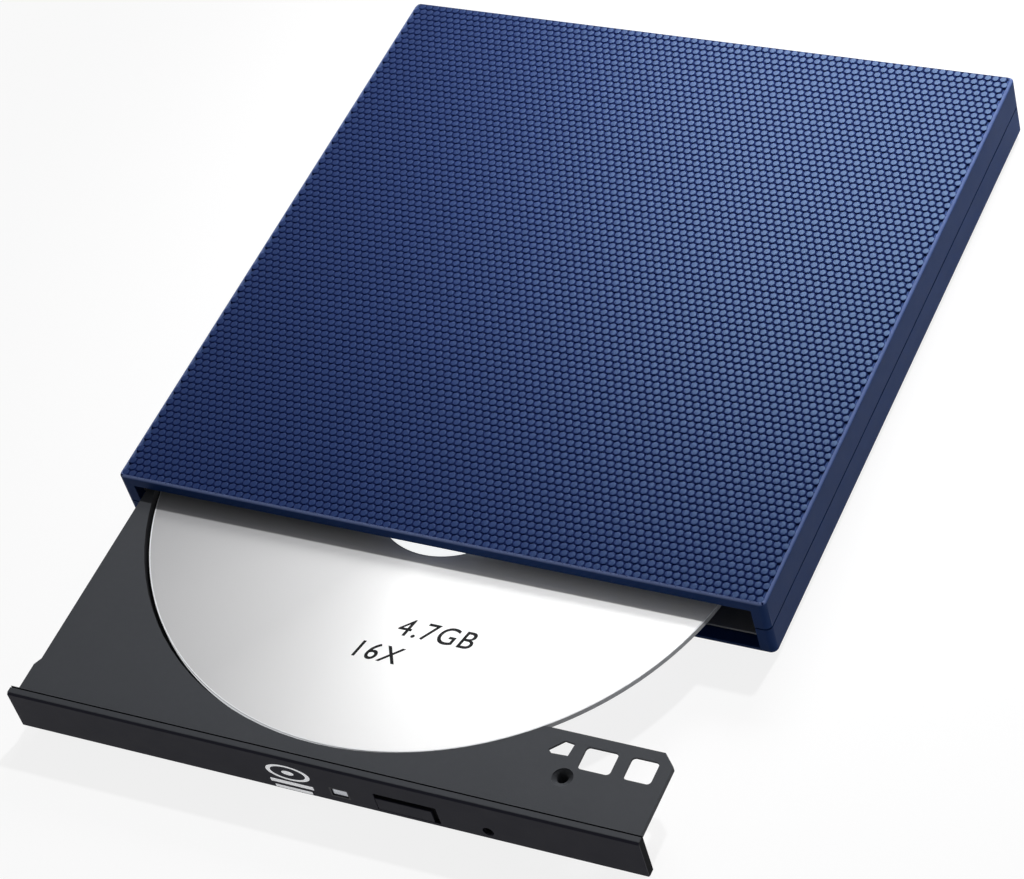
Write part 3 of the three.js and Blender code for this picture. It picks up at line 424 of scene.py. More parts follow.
def paint_sheet(shade):
    """Rolled sheet with a zinc spangle."""
    rolled = noise(shade, 0.5 * MM, 3.0, (12, 1, 1))
    return surface(
        shade, shift(shade, settings().works.sheet, 0.07, 5 * MM),
        0.36 + 0.12 * rolled + 0.1 * cells(shade, 420.0), relief(shade, rolled, 0.004 * MM), 0.8,
    )


def paint_board(level):
    """A green board with copper tracks under its lacquer, black chips above level."""
    pitch = 0.9 * MM

    def paint(shade):
        works = settings().works
        x, y, z = place(shade).axes()
        wander = 1.2 * MM * noise(shade, 7 * MM, 1.0)
        track = between((x + wander) % pitch, 0.3 * pitch, 0.62 * pitch)
        bars = between((y + wander) % (11 * pitch), 0.0, 7 * pitch)
        hole = cells(shade, 310.0) < 0.14
        lacquer = blend(shade, 0.45 * track * bars, works.board, linear(60, 140, 88))
        green = blend(shade, hole, lacquer, works.brass)
        above = z > level
        grain = noise(shade, 0.2 * MM, 3.0)
        return surface(
            shade, blend(shade, above, green, shift(shade, works.black, 0.2, 1 * MM)),
            0.34 + 0.2 * above + 0.1 * grain,
            relief(shade, track * bars * (1 - above), 0.03 * MM), Specular_IOR_Level=0.4,
        )

    return paint


def paint_film(shade):
    """Amber film over flat conductors, which run along it side by side."""
    works = settings().works
    line = between(place(shade).axes()[0] % (1.0 * MM), 0.22 * MM, 0.7 * MM)
    return surface(
        shade, blend(shade, line, works.film, works.copper), 0.34 + 0.12 * noise(shade, 3 * MM),
        relief(shade, line, 0.02 * MM), 0.25 * line, Specular_IOR_Level=0.5,
    )


def paint_contacts(shade):
    tint = shift(shade, settings().works.brass, 0.06, 0.8 * MM)
    return surface(
        shade, tint, 0.26 + 0.1 * noise(shade, 0.5 * MM),
        relief(shade, noise(shade, 0.3 * MM), 0.004 * MM), 0.95,
    )


def paint_lamp(shade):
    """A clear window with upright ribs, with a painted glow that brightens it."""
    width = 0.32 * MM
    rib = (place(shade).axes()[0] % width) / width
    tint = blend(shade, rib, settings().drawer.lamp, linear(160, 164, 172))
    # The emission is a painted glow that brightens the window.
    return surface(
        shade, tint, 0.22 + 0.1 * rib, relief(shade, rib, 0.03 * MM), 0.1, Coat_Weight=0.6,
        Coat_Roughness=0.12, Specular_IOR_Level=0.6, Emission_Color=tint, Emission_Strength=0.3,
    )


def paint_symbol(shade):
    speck = noise(shade, 0.08 * MM, 4.0)
    tint = shift(shade, settings().drawer.symbol, 0.03, 0.4 * MM)
    # The emission is a painted glow that brightens the white print.
    return surface(
        shade, tint, 0.5 + 0.15 * speck, relief(shade, speck, 0.004 * MM), Specular_IOR_Level=0.3,
        Emission_Color=tint, Emission_Strength=0.4,
    )


def from_spindle(shade):
    """x and y from the disc's axis, and the distance from it."""
    x, y, _ = place(shade).axes()
    x = x - DISC_CENTRE.x
    y = y - DISC_CENTRE.y
    return x, y, shade.math("SQRT", x * x + y * y)


def paint_label(shade):
    """Silver lacquer with a painted sheen that turns round the disc and lightens towards the
    middle, a painted highlight on its rim, and a clear hub zone with a painted glow.
    """
    disc = settings().disc
    x, y, radius = from_spindle(shade)
    turn = shade.math("ARCTAN2", y, x) / math.tau
    # Painted sheen: the silver goes from dark to light by the angle round the spindle, and lighter
    # towards the middle.
    sheen = (
        (0.0, 0.04), (0.06, 0.1), (0.11, 0.22), (0.17, 0.32), (0.22, 0.54), (0.26, 0.78),
        (0.3, 1.0), (0.66, 1.0), (0.84, 0.5), (1.0, 0.04),
    )
    stops = [(position, (light,) * 3) for position, light in sheen]
    ramp = shade.node("ShaderNodeValToRGB", {"stops": stops}, {"Fac": turn + 0.5})
    silver = blend(shade, ramp + 0.35 * (1 - radius / DISC_RADIUS), disc.dark, disc.light)
    hub = radius < disc.hub_zone
    edge = abs(radius - disc.hub_zone) < 0.25 * MM
    # Painted highlight: a paler band along the outer rim.
    rim = radius > (DISC_RADIUS - 0.3 * MM)
    tint = blend(shade, hub, silver, linear(205, 207, 210))
    tint = blend(shade, edge, tint, linear(176, 178, 184))
    tint = blend(shade, rim, tint, linear(236, 238, 240))
    # Painted glow: the hub zone gives off light so that it stays white in shade.
    glow = blend(shade, hub, (0, 0, 0), linear(250, 252, 252))
    flake = noise(shade, 0.07 * MM, 2.0)
    return surface(
        shade, tint, 0.3 + 0.1 * flake - 0.12 * hub, relief(shade, flake, 0.002 * MM),
        0.15 - 0.15 * hub, Specular_IOR_Level=0.5, Emission_Color=glow, Emission_Strength=0.9,
    )


def paint_recording(shade):
    """The side that is read: violet dye behind clear plastic, with a painted sheen of many colours
    that turns round it.
    """
    disc = settings().disc
    x, y, radius = from_spindle(shade)
    turn = shade.math("ARCTAN2", y, x)
    # Painted reflection: the dye's colour shifts by the angle round the spindle, standing for the
    # sheen of the grooves.
    stops = [
        (0.0, disc.recording), (0.3, linear(90, 110, 150)), (0.55, linear(130, 120, 150)),
        (0.8, linear(96, 78, 128)), (1.0, disc.recording),
    ]
    painted_sheen_ramp = shade.node(
        "ShaderNodeValToRGB", {"stops": stops}, {"Fac": 0.5 + 0.5 * shade.math("SINE", 2.0 * turn)}
    )
    hub = radius < 22.0 * MM
    ring = between(radius, 16.3 * MM, 17.3 * MM)
    tint = blend(shade, hub, painted_sheen_ramp, linear(214, 218, 224))
    tint = blend(shade, ring, tint, linear(180, 184, 192))
    groove = noise(shade, 0.5 * MM, 2.0)
    return surface(
        shade, tint, 0.14 + 0.06 * groove, relief(shade, groove, 0.001 * MM), 0.7 - 0.6 * hub,
        Coat_Weight=0.8, Coat_Roughness=0.05,
    )


def paint_clear_edge(shade):
    """Clear plastic with a painted highlight and glow to the left of the spindle, and grey to its
    right.
    """
    haze = noise(shade, 0.4 * MM, 2.0)
    # Painted highlight: bright and glowing left of the spindle, fading to grey towards its right.
    away = rise(shade, from_spindle(shade)[0], -5 * MM, 25 * MM)
    tint = shift(shade, linear(190, 193, 198), 0.03, 2 * MM)
    tint = blend(shade, away, tint, linear(140, 143, 148))
    glow = blend(shade, away, (0.9, 0.92, 0.95), (0, 0, 0))
    return surface(
        shade, tint, 0.12 + 0.08 * haze, relief(shade, haze, 0.003 * MM), Specular_IOR_Level=0.8,
        Emission_Color=glow, Emission_Strength=0.6,
    )


def paint_winding(shade):
    """Copper wire wound in level turns."""
    width = 0.22 * MM
    wire = (place(shade).axes()[2] % width) / width
    tint = blend(shade, wire, settings().works.copper, linear(120, 66, 34))
    return surface(shade, tint, 0.3 + 0.2 * wire, relief(shade, wire, 0.05 * MM), 0.9)


FINISHES = {
    "case": paint_case, "lid": paint_lid, "tray": paint_tray, "bezel": paint_bezel,
    "sheet": paint_sheet, "film": paint_film, "contacts": paint_contacts, "lamp": paint_lamp,
    "symbol": paint_symbol, "label": paint_label, "recording": paint_recording,
    "clear_edge": paint_clear_edge, "winding": paint_winding,
    "rubber": even(
        "case.rubber", (0.12, 2 * MM), (0.3 * MM, 4.0), (0.78, 0.15), 0.03 * MM,
        Specular_IOR_Level=0.25,
    ),
    "steel": even(
        "works.steel", (0.05, 2 * MM), (0.25 * MM, 3.0, (1, 14, 1)), (0.24, 0.16), 0.004 * MM, 0.95
    ),
    "dark_steel": even(
        "works.dark_steel", (0.08, 2 * MM), (0.4 * MM, 3.0, (8, 1, 1)), (0.34, 0.16), 0.005 * MM,
        0.85,
    ),
    "black": even(
        "works.black", (0.1, 2 * MM), (0.2 * MM, 3.0), (0.5, 0.12), 0.012 * MM,
        Specular_IOR_Level=0.3,
    ),
    "white": even(
        "works.white", (0.03, 2 * MM), (0.25 * MM, 3.0), (0.4, 0.1), 0.008 * MM,
        Specular_IOR_Level=0.4,
    ),
    "ink": even(
        "disc.ink", (0.1, 0.5 * MM), (0.1 * MM, 4.0), (0.5, 0.15), 0.003 * MM,
        Specular_IOR_Level=0.1,
    ),
    "lens": even(
        "works.lens", (0.15, 1 * MM), (0.3 * MM, 2.0), (0.05, 0.04), 0.001 * MM, 0.2,
        Coat_Weight=1.0, Coat_Roughness=0.03,
    ),
}


def finish(name):
    """The material of that finish, made at its first use."""
    made = name + "_finish"
    return bpy.data.materials.get(made) or new_material(made, FINISHES[name])


# Meshes


def linked(name, data):
    """A new object in the scene that shows a mesh, a curve, a lamp or a camera."""
    made = bpy.data.objects.new(name, data)
    bpy.context.scene.collection.objects.link(made)
    return made


def meshed(name, shape):
    """The mesh of a shape, which is used up."""
    mesh = bpy.data.meshes.new(name)
    bmesh.ops.recalc_face_normals(shape, faces=shape.faces)
    shape.to_mesh(mesh)
    shape.free()
    return mesh


def shape_of(made):
    """The shape of an object with its modifiers applied."""
    depsgraph = bpy.context.evaluated_depsgraph_get()
    mesh = bpy.data.meshes.new_from_object(made.evaluated_get(depsgraph))
    shape = bmesh.new()
    shape.from_mesh(mesh)
    bpy.data.meshes.remove(mesh)
    return shape


def cleaned(node):
    """A CAD node's shape with its doubled corners merged and its flat faces joined."""
    shape = bmesh.new()
    shape.from_mesh(frame["nodes"][node].data)
    bmesh.ops.remove_doubles(shape, verts=shape.verts, dist=0.002 * MM)
    bmesh.ops.dissolve_limit(
        shape, angle_limit=math.radians(0.6), verts=shape.verts, edges=shape.edges
    )
    return shape


def rounded(shape, width, steps=2, corner=35.0, keep=None):
    """Rounds a shape's edges that turn by more than corner degrees. keep picks some of them."""
    sharp = [
        edge
        for edge in shape.edges
        if edge.is_manifold
        and edge.calc_face_angle(0.0) > math.radians(corner)
        and (keep is None or keep(edge))
    ]
    bmesh.ops.bevel(
        shape, geom=sharp, offset=width, offset_type="OFFSET", segments=steps, profile=0.5,
        affect="EDGES", clamp_overlap=True,
    )
    return shape


def finished(name, shape, body, slot, *finishes, stands_for=(), smooth=32.0):
    """Turns a shape into a piece that rides on a body, with smooth faces up to an angle."""
    mesh = meshed(name, shape)
    for look in finishes:
        mesh.materials.append(finish(look))
    mesh.polygons.foreach_set("use_smooth", [True] * len(mesh.polygons))
    mesh.set_sharp_from_angle(angle=math.radians(smooth))
    piece = linked(name, mesh)
    shading = piece.modifiers.new("Even shading", "WEIGHTED_NORMAL")
    shading.keep_sharp = True
    if body:
        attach(piece, body)
    if stands_for:
        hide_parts(*stands_for)
    return piece


def stand_in(node, shape, *finishes, name=None, smooth=32.0):
    """The piece that stands for a CAD node, on the node's body."""
    return finished(
        name or node + "_shape", shape, BODY_OF[node], SLOT_OF[node], *finishes,
        stands_for=(node,), smooth=smooth,
    )


def dressed(node, look, width, steps=2, corner=35.0):
    """A CAD node's own shape with its edges rounded by width, in millimetres."""
    return stand_in(node, rounded(cleaned(node), width * MM, steps, corner), look)


def block(shape, low, high):
    """Adds a box between two corners and returns its vertices."""
    made = bmesh.ops.create_cube(shape, size=1.0)["verts"]
    size = Vector(high) - Vector(low)
    middle = (Vector(high) + Vector(low)) / 2
    for vertex in made:
        vertex.co = Vector(a * b for a, b in zip(vertex.co, size)) + middle
    return made


def cutter(low, high):
    """A new shape that is one box between two corners."""
    shape = bmesh.new()
    block(shape, low, high)
    return shape


def circle(shape, middle, across, up, steps):
    """Adds a ring of vertices round a point. across and up are its two half axes."""
    ring = []
    for step in range(steps):
        cosine = math.cos(math.tau * step / steps)
        sine = math.sin(math.tau * step / steps)
        ring.append(shape.verts.new(
            middle + Vector(a * cosine + b * sine for a, b in zip(across, up))
        ))
    return ring


def bridge(shape, rings, close=False):
    """Adds faces from each ring to the next, and if close from the last to the first.

    A ring of one vertex makes a point.
    """
    pairs = list(zip(rings, rings[1:]))
    if close:
        pairs.append((rings[-1], rings[0]))
    for first, second in pairs:
        steps = max(len(first), len(second))
        for step in range(steps):
            after = (step + 1) % steps
            corners = dict.fromkeys((
                first[step % len(first)], first[after % len(first)],
                second[after % len(second)], second[step % len(second)],
            ))
            if len(corners) > 2:
                shape.faces.new(list(corners))


def turned(shape, centre, profile, steps, close=False):
    """Adds a shape turned round an upright axis. profile lists (radius, height) pairs."""
    rings = []
    for radius, height in profile:
        middle = centre + Vector((0, 0, height))
        if radius:
            rings.append(circle(shape, middle, (radius, 0, 0), (0, radius, 0), steps))
        else:
            rings.append([shape.verts.new(middle)])
    bridge(shape, rings, close)


def carved(shape, *cutters):
    """A shape with other shapes cut out of it."""
    made = [linked("part", meshed("part", part)) for part in (shape, *cutters)]
    for tool in made[1:]:
        step = made[0].modifiers.new("Cut", "BOOLEAN")
        step.operation = "DIFFERENCE"
        step.solver = "EXACT"
        step.object = tool
    left = shape_of(made[0])
    for part in made:
        mesh = part.data
        bpy.data.objects.remove(part)
        bpy.data.meshes.remove(mesh)
    return left


# The case


def lid_field():
    """The lowest and highest corner of the lid's field of bumps, at the height of the lid."""
    case = settings().case
    inset = Vector((case.rim + case.rim_gap, case.rim + case.rim_gap, 0))
    low = Vector((CASE_LOW.x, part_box("top_cover")[0].y, CASE_HIGH.z))
    return low + inset, CASE_HIGH - inset


def lid_shell():
    """The top cover with a sunk field for its bumps and rounded edges."""
    case = settings().case
    shape = cleaned("top_cover")
    near = 0.01 * MM
    edge_zone = 1.0 * MM
    sunk = 1.5 * case.bump_height
    roof = [
        face for face in shape.faces
        if face.normal.z > 0.99 and face.calc_center_median().z > CASE_HIGH.z - near
    ]
    bmesh.ops.inset_region(shape, faces=roof, thickness=case.rim, use_even_offset=True)
    for face in roof:
        bmesh.ops.translate(shape, verts=face.verts, vec=(0, 0, -sunk))
    rounded(
        shape, 0.12 * MM, 2, 25.0,
        keep=lambda edge: all(vertex.co.z > CASE_HIGH.z - edge_zone for vertex in edge.verts)
        or all(abs(abs(vertex.co.x) - CASE_HIGH.x) < near for vertex in edge.verts),
    )
    return stand_in("top_cover", shape, "case", name="lid_shell", smooth=40.0)


def bump_tile(name, rows, first_row, columns, start, cell):
    """One strip of bumps, as a closed slab: each bump fills its own brick of size cell."""
    case = settings().case
    top = CASE_HIGH.z
    shoulder = top - 0.22 * case.bump_height
    valley = top - case.bump_height
    below = valley - 0.5 * case.bump_height
    around = [(1, 0), (1, 1), (0, 1), (-1, 1), (-1, 0), (-1, -1), (0, -1), (1, -1)]
    shape = bmesh.new()
    floor = {}

    def corner(i, j):
        if (i, j) not in floor:
            floor[i, j] = shape.verts.new(
                (start.x + i * cell.x / 2, start.y + j * cell.y / 2, valley)
            )
        return floor[i, j]

    for row in range(first_row, first_row + rows):
        shifted = row % 2
        for column in range(columns - shifted):
            i = 2 * column + shifted + 1
            j = 2 * row + 1
            middle = Vector((start.x + i * cell.x / 2, start.y + j * cell.y / 2, 0))
            rings = [[corner(i + a, j + b) for a, b in around]]
            for width, height in ((case.bump_width, shoulder), (case.bump_crown, top)):
                rings.append(circle(
                    shape, middle + Vector((0, 0, height)), (width / 2, 0, 0),
                    (0, case.bump_stretch * width / 2, 0), len(around),
                ))
            bridge(shape, rings)
            shape.faces.new(rings[-1])
    edges = [edge for edge in shape.edges if len(edge.link_faces) == 1]
    skirt = bmesh.ops.extrude_edge_only(shape, edges=edges)["geom"]
    for part in skirt:
        if isinstance(part, bmesh.types.BMVert):
            part.co.z = below
    bmesh.ops.holes_fill(shape, edges=[edge for edge in shape.edges if len(edge.link_faces) == 1])
    return finished(name, shape, "case", "case", "lid", smooth=46.0)


class DISCDRIVE_OT_lid(bpy.types.Operator):
    """Builds the lid: the top cover's shell and the field of round bumps on it"""

    bl_idname = "disc_drive.lid"
    bl_label = "Lid"

    def execute(self, context):
        lid_shell()
        case = settings().case
        low, high = lid_field()
        columns = round((high.x - low.x) / case.bump_pitch)
        rows = round((high.y - low.y) / case.row_pitch)
        cell = Vector(((high.x - low.x) / columns, (high.y - low.y) / rows))
        strips = 4
        cuts = [round(rows * count / strips) for count in range(strips + 1)]
        for count, (first, after) in enumerate(zip(cuts, cuts[1:]), 1):
            bump_tile(f"lid_bumps_{count}", after - first, first, columns, low, cell)
        return {"FINISHED"}


class DISCDRIVE_OT_base(bpy.types.Operator):
    """Builds the bottom cover with its rounded edges"""

    bl_idname = "disc_drive.base"
    bl_label = "Bottom cover"

    def execute(self, context):
        dressed("bottom_cover", "case", 0.1, 2, 25.0)
        return {"FINISHED"}


class DISCDRIVE_OT_feet(bpy.types.Operator):
    """Builds the four rubber feet, crowned and with a turned-in foot ring"""

    bl_idname = "disc_drive.feet"
    bl_label = "Feet"

    def execute(self, context):
        for node in ("foot_front_left", "foot_front_right", "foot_rear_left", "foot_rear_right"):
            low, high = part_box(node)
            middle = Vector(((low.x + high.x) / 2, (low.y + high.y) / 2, low.z))
            radius = (high.x - low.x) / 2
            tall = high.z - low.z
            shape = bmesh.new()
            turned(shape, middle, [
                (0, tall), (radius * 0.97, tall), (radius, tall * 0.9), (radius, 0.28 * MM),
                (radius * 0.96, 0.08 * MM), (radius * 0.9, 0), (radius * 0.78, 0),
                (radius * 0.74, 0.12 * MM), (radius * 0.7, 0.16 * MM), (0, 0.1 * MM),
            ], 48)
            stand_in(node, shape, "rubber")
        return {"FINISHED"}


def cross_screw(node, way, look):
    """A screw with a rounded head and a cross drive. Its head is on top where way is 1."""
    low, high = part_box(node)
    head = high.z if way > 0 else low.z
    middle = Vector(((low.x + high.x) / 2, (low.y + high.y) / 2, head))
    wide = high.x - low.x
    bottom, top = sorted((head + way * 0.5 * MM, head - way * 0.28 * MM))
    tools = [
        cutter((middle.x - x, middle.y - y, bottom), (middle.x + x, middle.y + y, top))
        for x, y in ((0.06 * wide, 0.3 * wide), (0.3 * wide, 0.06 * wide))
    ]
    shape = rounded(
        cleaned(node), 0.14 * MM, 3, 50.0,
        keep=lambda edge: all(abs(vertex.co.z - head) < 0.01 * MM for vertex in edge.verts),
    )
    return stand_in(node, carved(shape, *tools), look, smooth=30.0)


class DISCDRIVE_OT_screws(bpy.types.Operator):
    """Builds the screws of the case, of the drive's lid and of the dampers"""

    bl_idname = "disc_drive.screws"
    bl_label = "Screws"

    def execute(self, context):
        for side in SIDES:
            cross_screw(f"case_screw_rear_{side}", -1, "steel")
        for count in (1, 2, 3):
            cross_screw(f"lid_screw_{count}", 1, "dark_steel")
            cross_screw(f"damper_screw_{count}", -1, "dark_steel")
        return {"FINISHED"}


class DISCDRIVE_OT_socket(bpy.types.Operator):
    """Builds the socket at the back with its tongue and contacts"""

    bl_idname = "disc_drive.socket"
    bl_label = "Rear socket"

    def execute(self, context):
        dressed("usb_socket", "steel", 0.15, 3)
        dressed("usb_tongue", "black", 0.1)
        low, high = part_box("usb_tongue")
        shape = bmesh.new()
        count = 5
        pitch = (high.x - low.x) / count
        inset = 0.3 * MM
        for number in range(count):
            x = low.x + (number + 0.5) * pitch
            block(
                shape, (x - 0.25 * pitch, low.y + inset, high.z - 0.04 * MM),
                (x + 0.25 * pitch, high.y - inset, high.z + 0.05 * MM),
            )
        rounded(shape, 0.03 * MM, 1)
        finished("socket_contacts", shape, "case", "bright_steel", "contacts")
        return {"FINISHED"}


def raised(node, top):
    """The blocks of a node that end at the height top, each as a lowest and highest corner."""
    points = [vertex.co for vertex in frame["nodes"][node].data.vertices]
    points = [point for point in points if abs(point.z - top) < 0.02 * MM]
    groups = []
    for point in sorted(points, key=lambda point: point.y):
        if groups and point.y - groups[-1][-1].y < 8 * MM:
            groups[-1].append(point)
        else:
            groups.append([point])
    return [(Vector(map(min, zip(*group))), Vector(map(max, zip(*group)))) for group in groups]


def chip_legs(name, body, low, high, count):
    """Rows of bent legs along both long sides of a chip, from its side down to the board."""
    shape = bmesh.new()
    pitch = (high.y - low.y) / count
    wide, thick = 0.45 * pitch, 0.12 * MM
    bends = ((-0.05, 0.5), (0.28, 0.5), (0.36, 0.08), (0.62, 0.08))
    for side, way in ((low.x, -1), (high.x, 1)):
        path = [(side + way * out * MM, low.z + up * MM) for out, up in bends]
        for number in range(count):
            y = low.y + (number + 0.5) * pitch
            for (x0, z0), (x1, z1) in zip(path, path[1:]):
                run = Vector((x1 - x0, 0, z1 - z0))
                half = Vector((run.length + 0.06 * MM, wide, thick)) / 2
                tilt = Matrix.Rotation(-math.atan2(run.z, run.x), 4, "Y")
                middle = Vector(((x0 + x1) / 2, y, (z0 + z1) / 2))
                for vertex in block(shape, -half, half):
                    vertex.co = tilt @ vertex.co + middle
    return finished(name, shape, body, "bright_steel", "steel")


class DISCDRIVE_OT_boards(bpy.types.Operator):
    """Paints the circuit boards and plugs and adds the legs of the chips"""

    bl_idname = "disc_drive.boards"
    bl_label = "Boards and plugs"

    def execute(self, context):
        board_top, chip_top = 0.8 * MM, 1.8 * MM
        for node in ("bridge_board", "main_board", "tray_board"):
            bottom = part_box(node)[0].z
            paint = paint_board(bottom + board_top + 0.02 * MM)
            looks = frame["nodes"][node].data.materials
            looks.clear()
            looks.append(new_material(node + "_look", paint))
            for number, (low, high) in enumerate(raised(node, bottom + chip_top), 1):
                low.z = bottom + board_top
                chip_legs(f"{node}_chip_legs_{number}", BODY_OF[node], low, high, 9)
        dressed("data_plug", "black", 0.12)
        dressed("data_socket", "black", 0.12)
        dressed("eject_switch", "black", 0.1)
        return {"FINISHED"}


class DISCDRIVE_OT_chassis(bpy.types.Operator):
    """Builds the sheet-metal pan, its lid, the guides and the telescoping rails"""

    bl_idname = "disc_drive.chassis"
    bl_label = "Chassis"

    def execute(self, context):
        dressed("drive_chassis", "sheet", 0.08, 1, 50.0)
        dressed("drive_lid", "sheet", 0.12, 2, 50.0)
        for side in SIDES:
            dressed(f"guide_{side}", "black", 0.1, 1, 50.0)
            dressed(f"rail_{side}", "steel", 0.08, 1, 50.0)
        return {"FINISHED"}


class DISCDRIVE_OT_cable(bpy.types.Operator):
    """Builds the flat cable: a run on the pan, a half turn, and a run under the tray"""

    bl_idname = "disc_drive.cable"
    bl_label = "Flat cable"

    def execute(self, context):
        points = [vertex.co for vertex in frame["nodes"]["flex_cable"].data.vertices]
        low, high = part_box("flex_cable")
        middle = (low.z + high.z) / 2
        radius = (high.z - low.z) / 2
        turn = high.y - radius
        tip = min(point.y for point in points if point.z > middle)
        right = max(point.x for point in points if point.z > middle)
        leg = max(point.y for point in points if point.x > right + 1 * MM)
        thick = 0.15 * MM
        lower = cutter((low.x, low.y + 0.1 * MM, low.z), (high.x, leg, low.z + thick))
        block(lower, (low.x, leg, low.z), (right, turn, low.z + thick))
        bmesh.ops.remove_doubles(lower, verts=lower.verts, dist=0.001 * MM)
        upper = cutter((low.x, tip, high.z - thick), (right, turn, high.z))
        for name, shape, start, end in (
            ("flex_lower_run", lower, leg, 2 * turn - leg),
            ("flex_upper_run", upper, 2 * turn - tip, tip),
        ):
            piece = finished(name, shape, None, "flex", "film", stands_for=("flex_cable",))
            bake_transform(piece)
        bend = bmesh.new()
        steps = 24
        section = (
            (low.x, radius), (right, radius), (right, radius - thick), (low.x, radius - thick)
        )
        rings = []
        for step in range(steps + 1):
            angle = -math.pi / 2 + math.pi * step / steps
            along, up = math.cos(angle), math.sin(angle)
            rings.append([
                bend.verts.new((x, turn + reach * along, middle + reach * up))
                for x, reach in section
            ])
        bridge(bend, rings)
        bend.faces.new(rings[0])
        bend.faces.new(rings[-1])
        finished("flex_turn", bend, "slide_rails", "flex", "film", stands_for=("flex_cable",))
        return {"FINISHED"}


# The drawer

# Each window of the wing: left, right, front and back edge, in millimetres from the tray's right
# side and from its front
WINDOWS = ((24.0, 17.8, 11.6, 16.3), (17.4, 9.2, 9.5, 16.35), (8.7, 1.5, 9.5, 16.35))


class DISCDRIVE_OT_tray(bpy.types.Operator):
    """Builds the tray, thin at its windows and recessed at its screw, and the plate under it"""

    bl_idname = "disc_drive.tray"
    bl_label = "Tray"

    def execute(self, context):
        right, front, top = TRAY_HIGH.x, TRAY_LOW.y, TRAY_HIGH.z
        skin = top - 0.45 * MM
        tools = [
            cutter(
                (right - x0 * MM, front + y0 * MM, skin - 5 * MM),
                (right - x1 * MM, front + y1 * MM, skin),
            )
            for x0, x1, y0, y1 in WINDOWS
        ]
        recess = bmesh.new()
        screw_hole = Vector((right - 18.05 * MM, front + 8.1 * MM, top - 0.3 * MM))
        wide, tall = 1.95 * MM, 1 * MM
        turned(recess, screw_hole, [(0, 0), (wide, 0), (wide, tall), (0, tall)], 48)
        shape = rounded(cleaned("tray"), settings().drawer.corner, 2, 40.0)
        stand_in("tray", carved(shape, recess, *tools), "tray", smooth=30.0)
        dressed("tray_bottom_plate", "sheet", 0.06, 1, 50.0)
        return {"FINISHED"}


class DISCDRIVE_OT_bezel(bpy.types.Operator):
    """Builds the bezel, its printed symbol, and the lamp's window"""

    bl_idname = "disc_drive.bezel"
    bl_label = "Bezel"

    def execute(self, context):
        over = 1 * MM
        groove = cutter(
            (BEZEL_LOW.x - over, BEZEL_HIGH.y - 0.42 * MM, BEZEL_HIGH.z - 0.5 * MM),
            (BEZEL_HIGH.x + over, BEZEL_HIGH.y - 0.14 * MM, BEZEL_HIGH.z + over),
        )
        emergency_hole = Vector((33.85 * MM, BEZEL_LOW.y, BEZEL_LOW.z + 2.4 * MM))
        sink_radius, sink_depth = 1.1 * MM, 0.8 * MM
        sink = bmesh.new()
        bmesh.ops.create_cone(
            sink, cap_ends=True, segments=40, radius1=sink_radius, radius2=sink_radius,
            depth=sink_depth,
            matrix=Matrix.Translation(emergency_hole) @ Matrix.Rotation(math.pi / 2, 4, "X"),
        )
        shape = rounded(cleaned("bezel"), settings().drawer.corner, 2, 30.0)
        stand_in("bezel", carved(shape, groove, sink), "bezel", smooth=30.0)
        dressed("led_window", "lamp", 0.3, 3, 40.0)
        self.surround()
        self.symbol()
        return {"FINISHED"}

    def surround(self):
        """A black frame round the lamp's window, which stands in for the shade of a recess round
        it.
        """
        low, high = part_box("led_window")
        room, edge = 0.06 * MM, 0.34 * MM
        proud, deep = 0.01 * MM, 0.3 * MM
        shape = bmesh.new()
        for x0, x1, z0, z1 in (
            (low.x - edge, low.x - room, low.z - edge, high.z + edge),
            (high.x + room, high.x + edge, low.z - edge, high.z + edge),
            (low.x - room, high.x + room, high.z + room, high.z + edge),
            (low.x - room, high.x + room, low.z - edge, low.z - room),
        ):
            block(shape, (x0, BEZEL_LOW.y - proud, z0), (x1, BEZEL_LOW.y + deep, z1))
        finished("lamp_recess_shade", shape, "drawer", "black_plastic", "black")

    def symbol(self):
        """A disc seen at a slant over two bars, printed on the bezel."""
        foot = Vector((-5.4 * MM, BEZEL_LOW.y, BEZEL_LOW.z))
        centre = foot + Vector((0, 0, 5.75 * MM))
        slant = 0.47
        steps = 48
        shape = bmesh.new()
        outer, inner, hub = (
            circle(shape, centre, (reach * MM, 0, 0), (0, 0, slant * reach * MM), steps)
            for reach in (4.5, 3.6, 1.25)
        )
        bridge(shape, [outer, inner])
        shape.faces.new(hub)
        for half, low, high in ((4.4, 2.1, 3.05), (3.8, 0.6, 1.35)):
            shape.faces.new([
                shape.verts.new(foot + Vector((x * MM, 0, z * MM)))
                for x, z in ((-half, low), (half, low), (half, high), (-half, high))
            ])
        bmesh.ops.recalc_face_normals(shape, faces=shape.faces)
        thick = bmesh.ops.extrude_face_region(shape, geom=shape.faces[:])["geom"]
        bmesh.ops.translate(
            shape, verts=[part for part in thick if isinstance(part, bmesh.types.BMVert)],
            vec=(0, -0.015 * MM, 0),
        )
        finished("bezel_symbol", shape, "drawer", "white_plastic", "symbol")


class DISCDRIVE_OT_button(bpy.types.Operator):
    """Builds the eject button: its face, and the deep grooves above it and beside it"""

    bl_idname = "disc_drive.button"
    bl_label = "Eject button"

    def execute(self, context):
        low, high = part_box("eject_button")
        over, deep = 1 * MM, 0.8 * MM
        above, beside = 0.95 * MM, 1.6 * MM
        tools = [
            cutter((x, low.y - over, z), (high.x + over, low.y + deep, high.z + over))
            for x, z in ((low.x - over, high.z - above), (high.x - beside, low.z - over))
        ]
        shape = rounded(carved(cleaned("eject_button"), *tools), 0.08 * MM, 2, 40.0)
        stand_in("eject_button", shape, "bezel", smooth=30.0)
        return {"FINISHED"}


# The disc and what turns and reads it


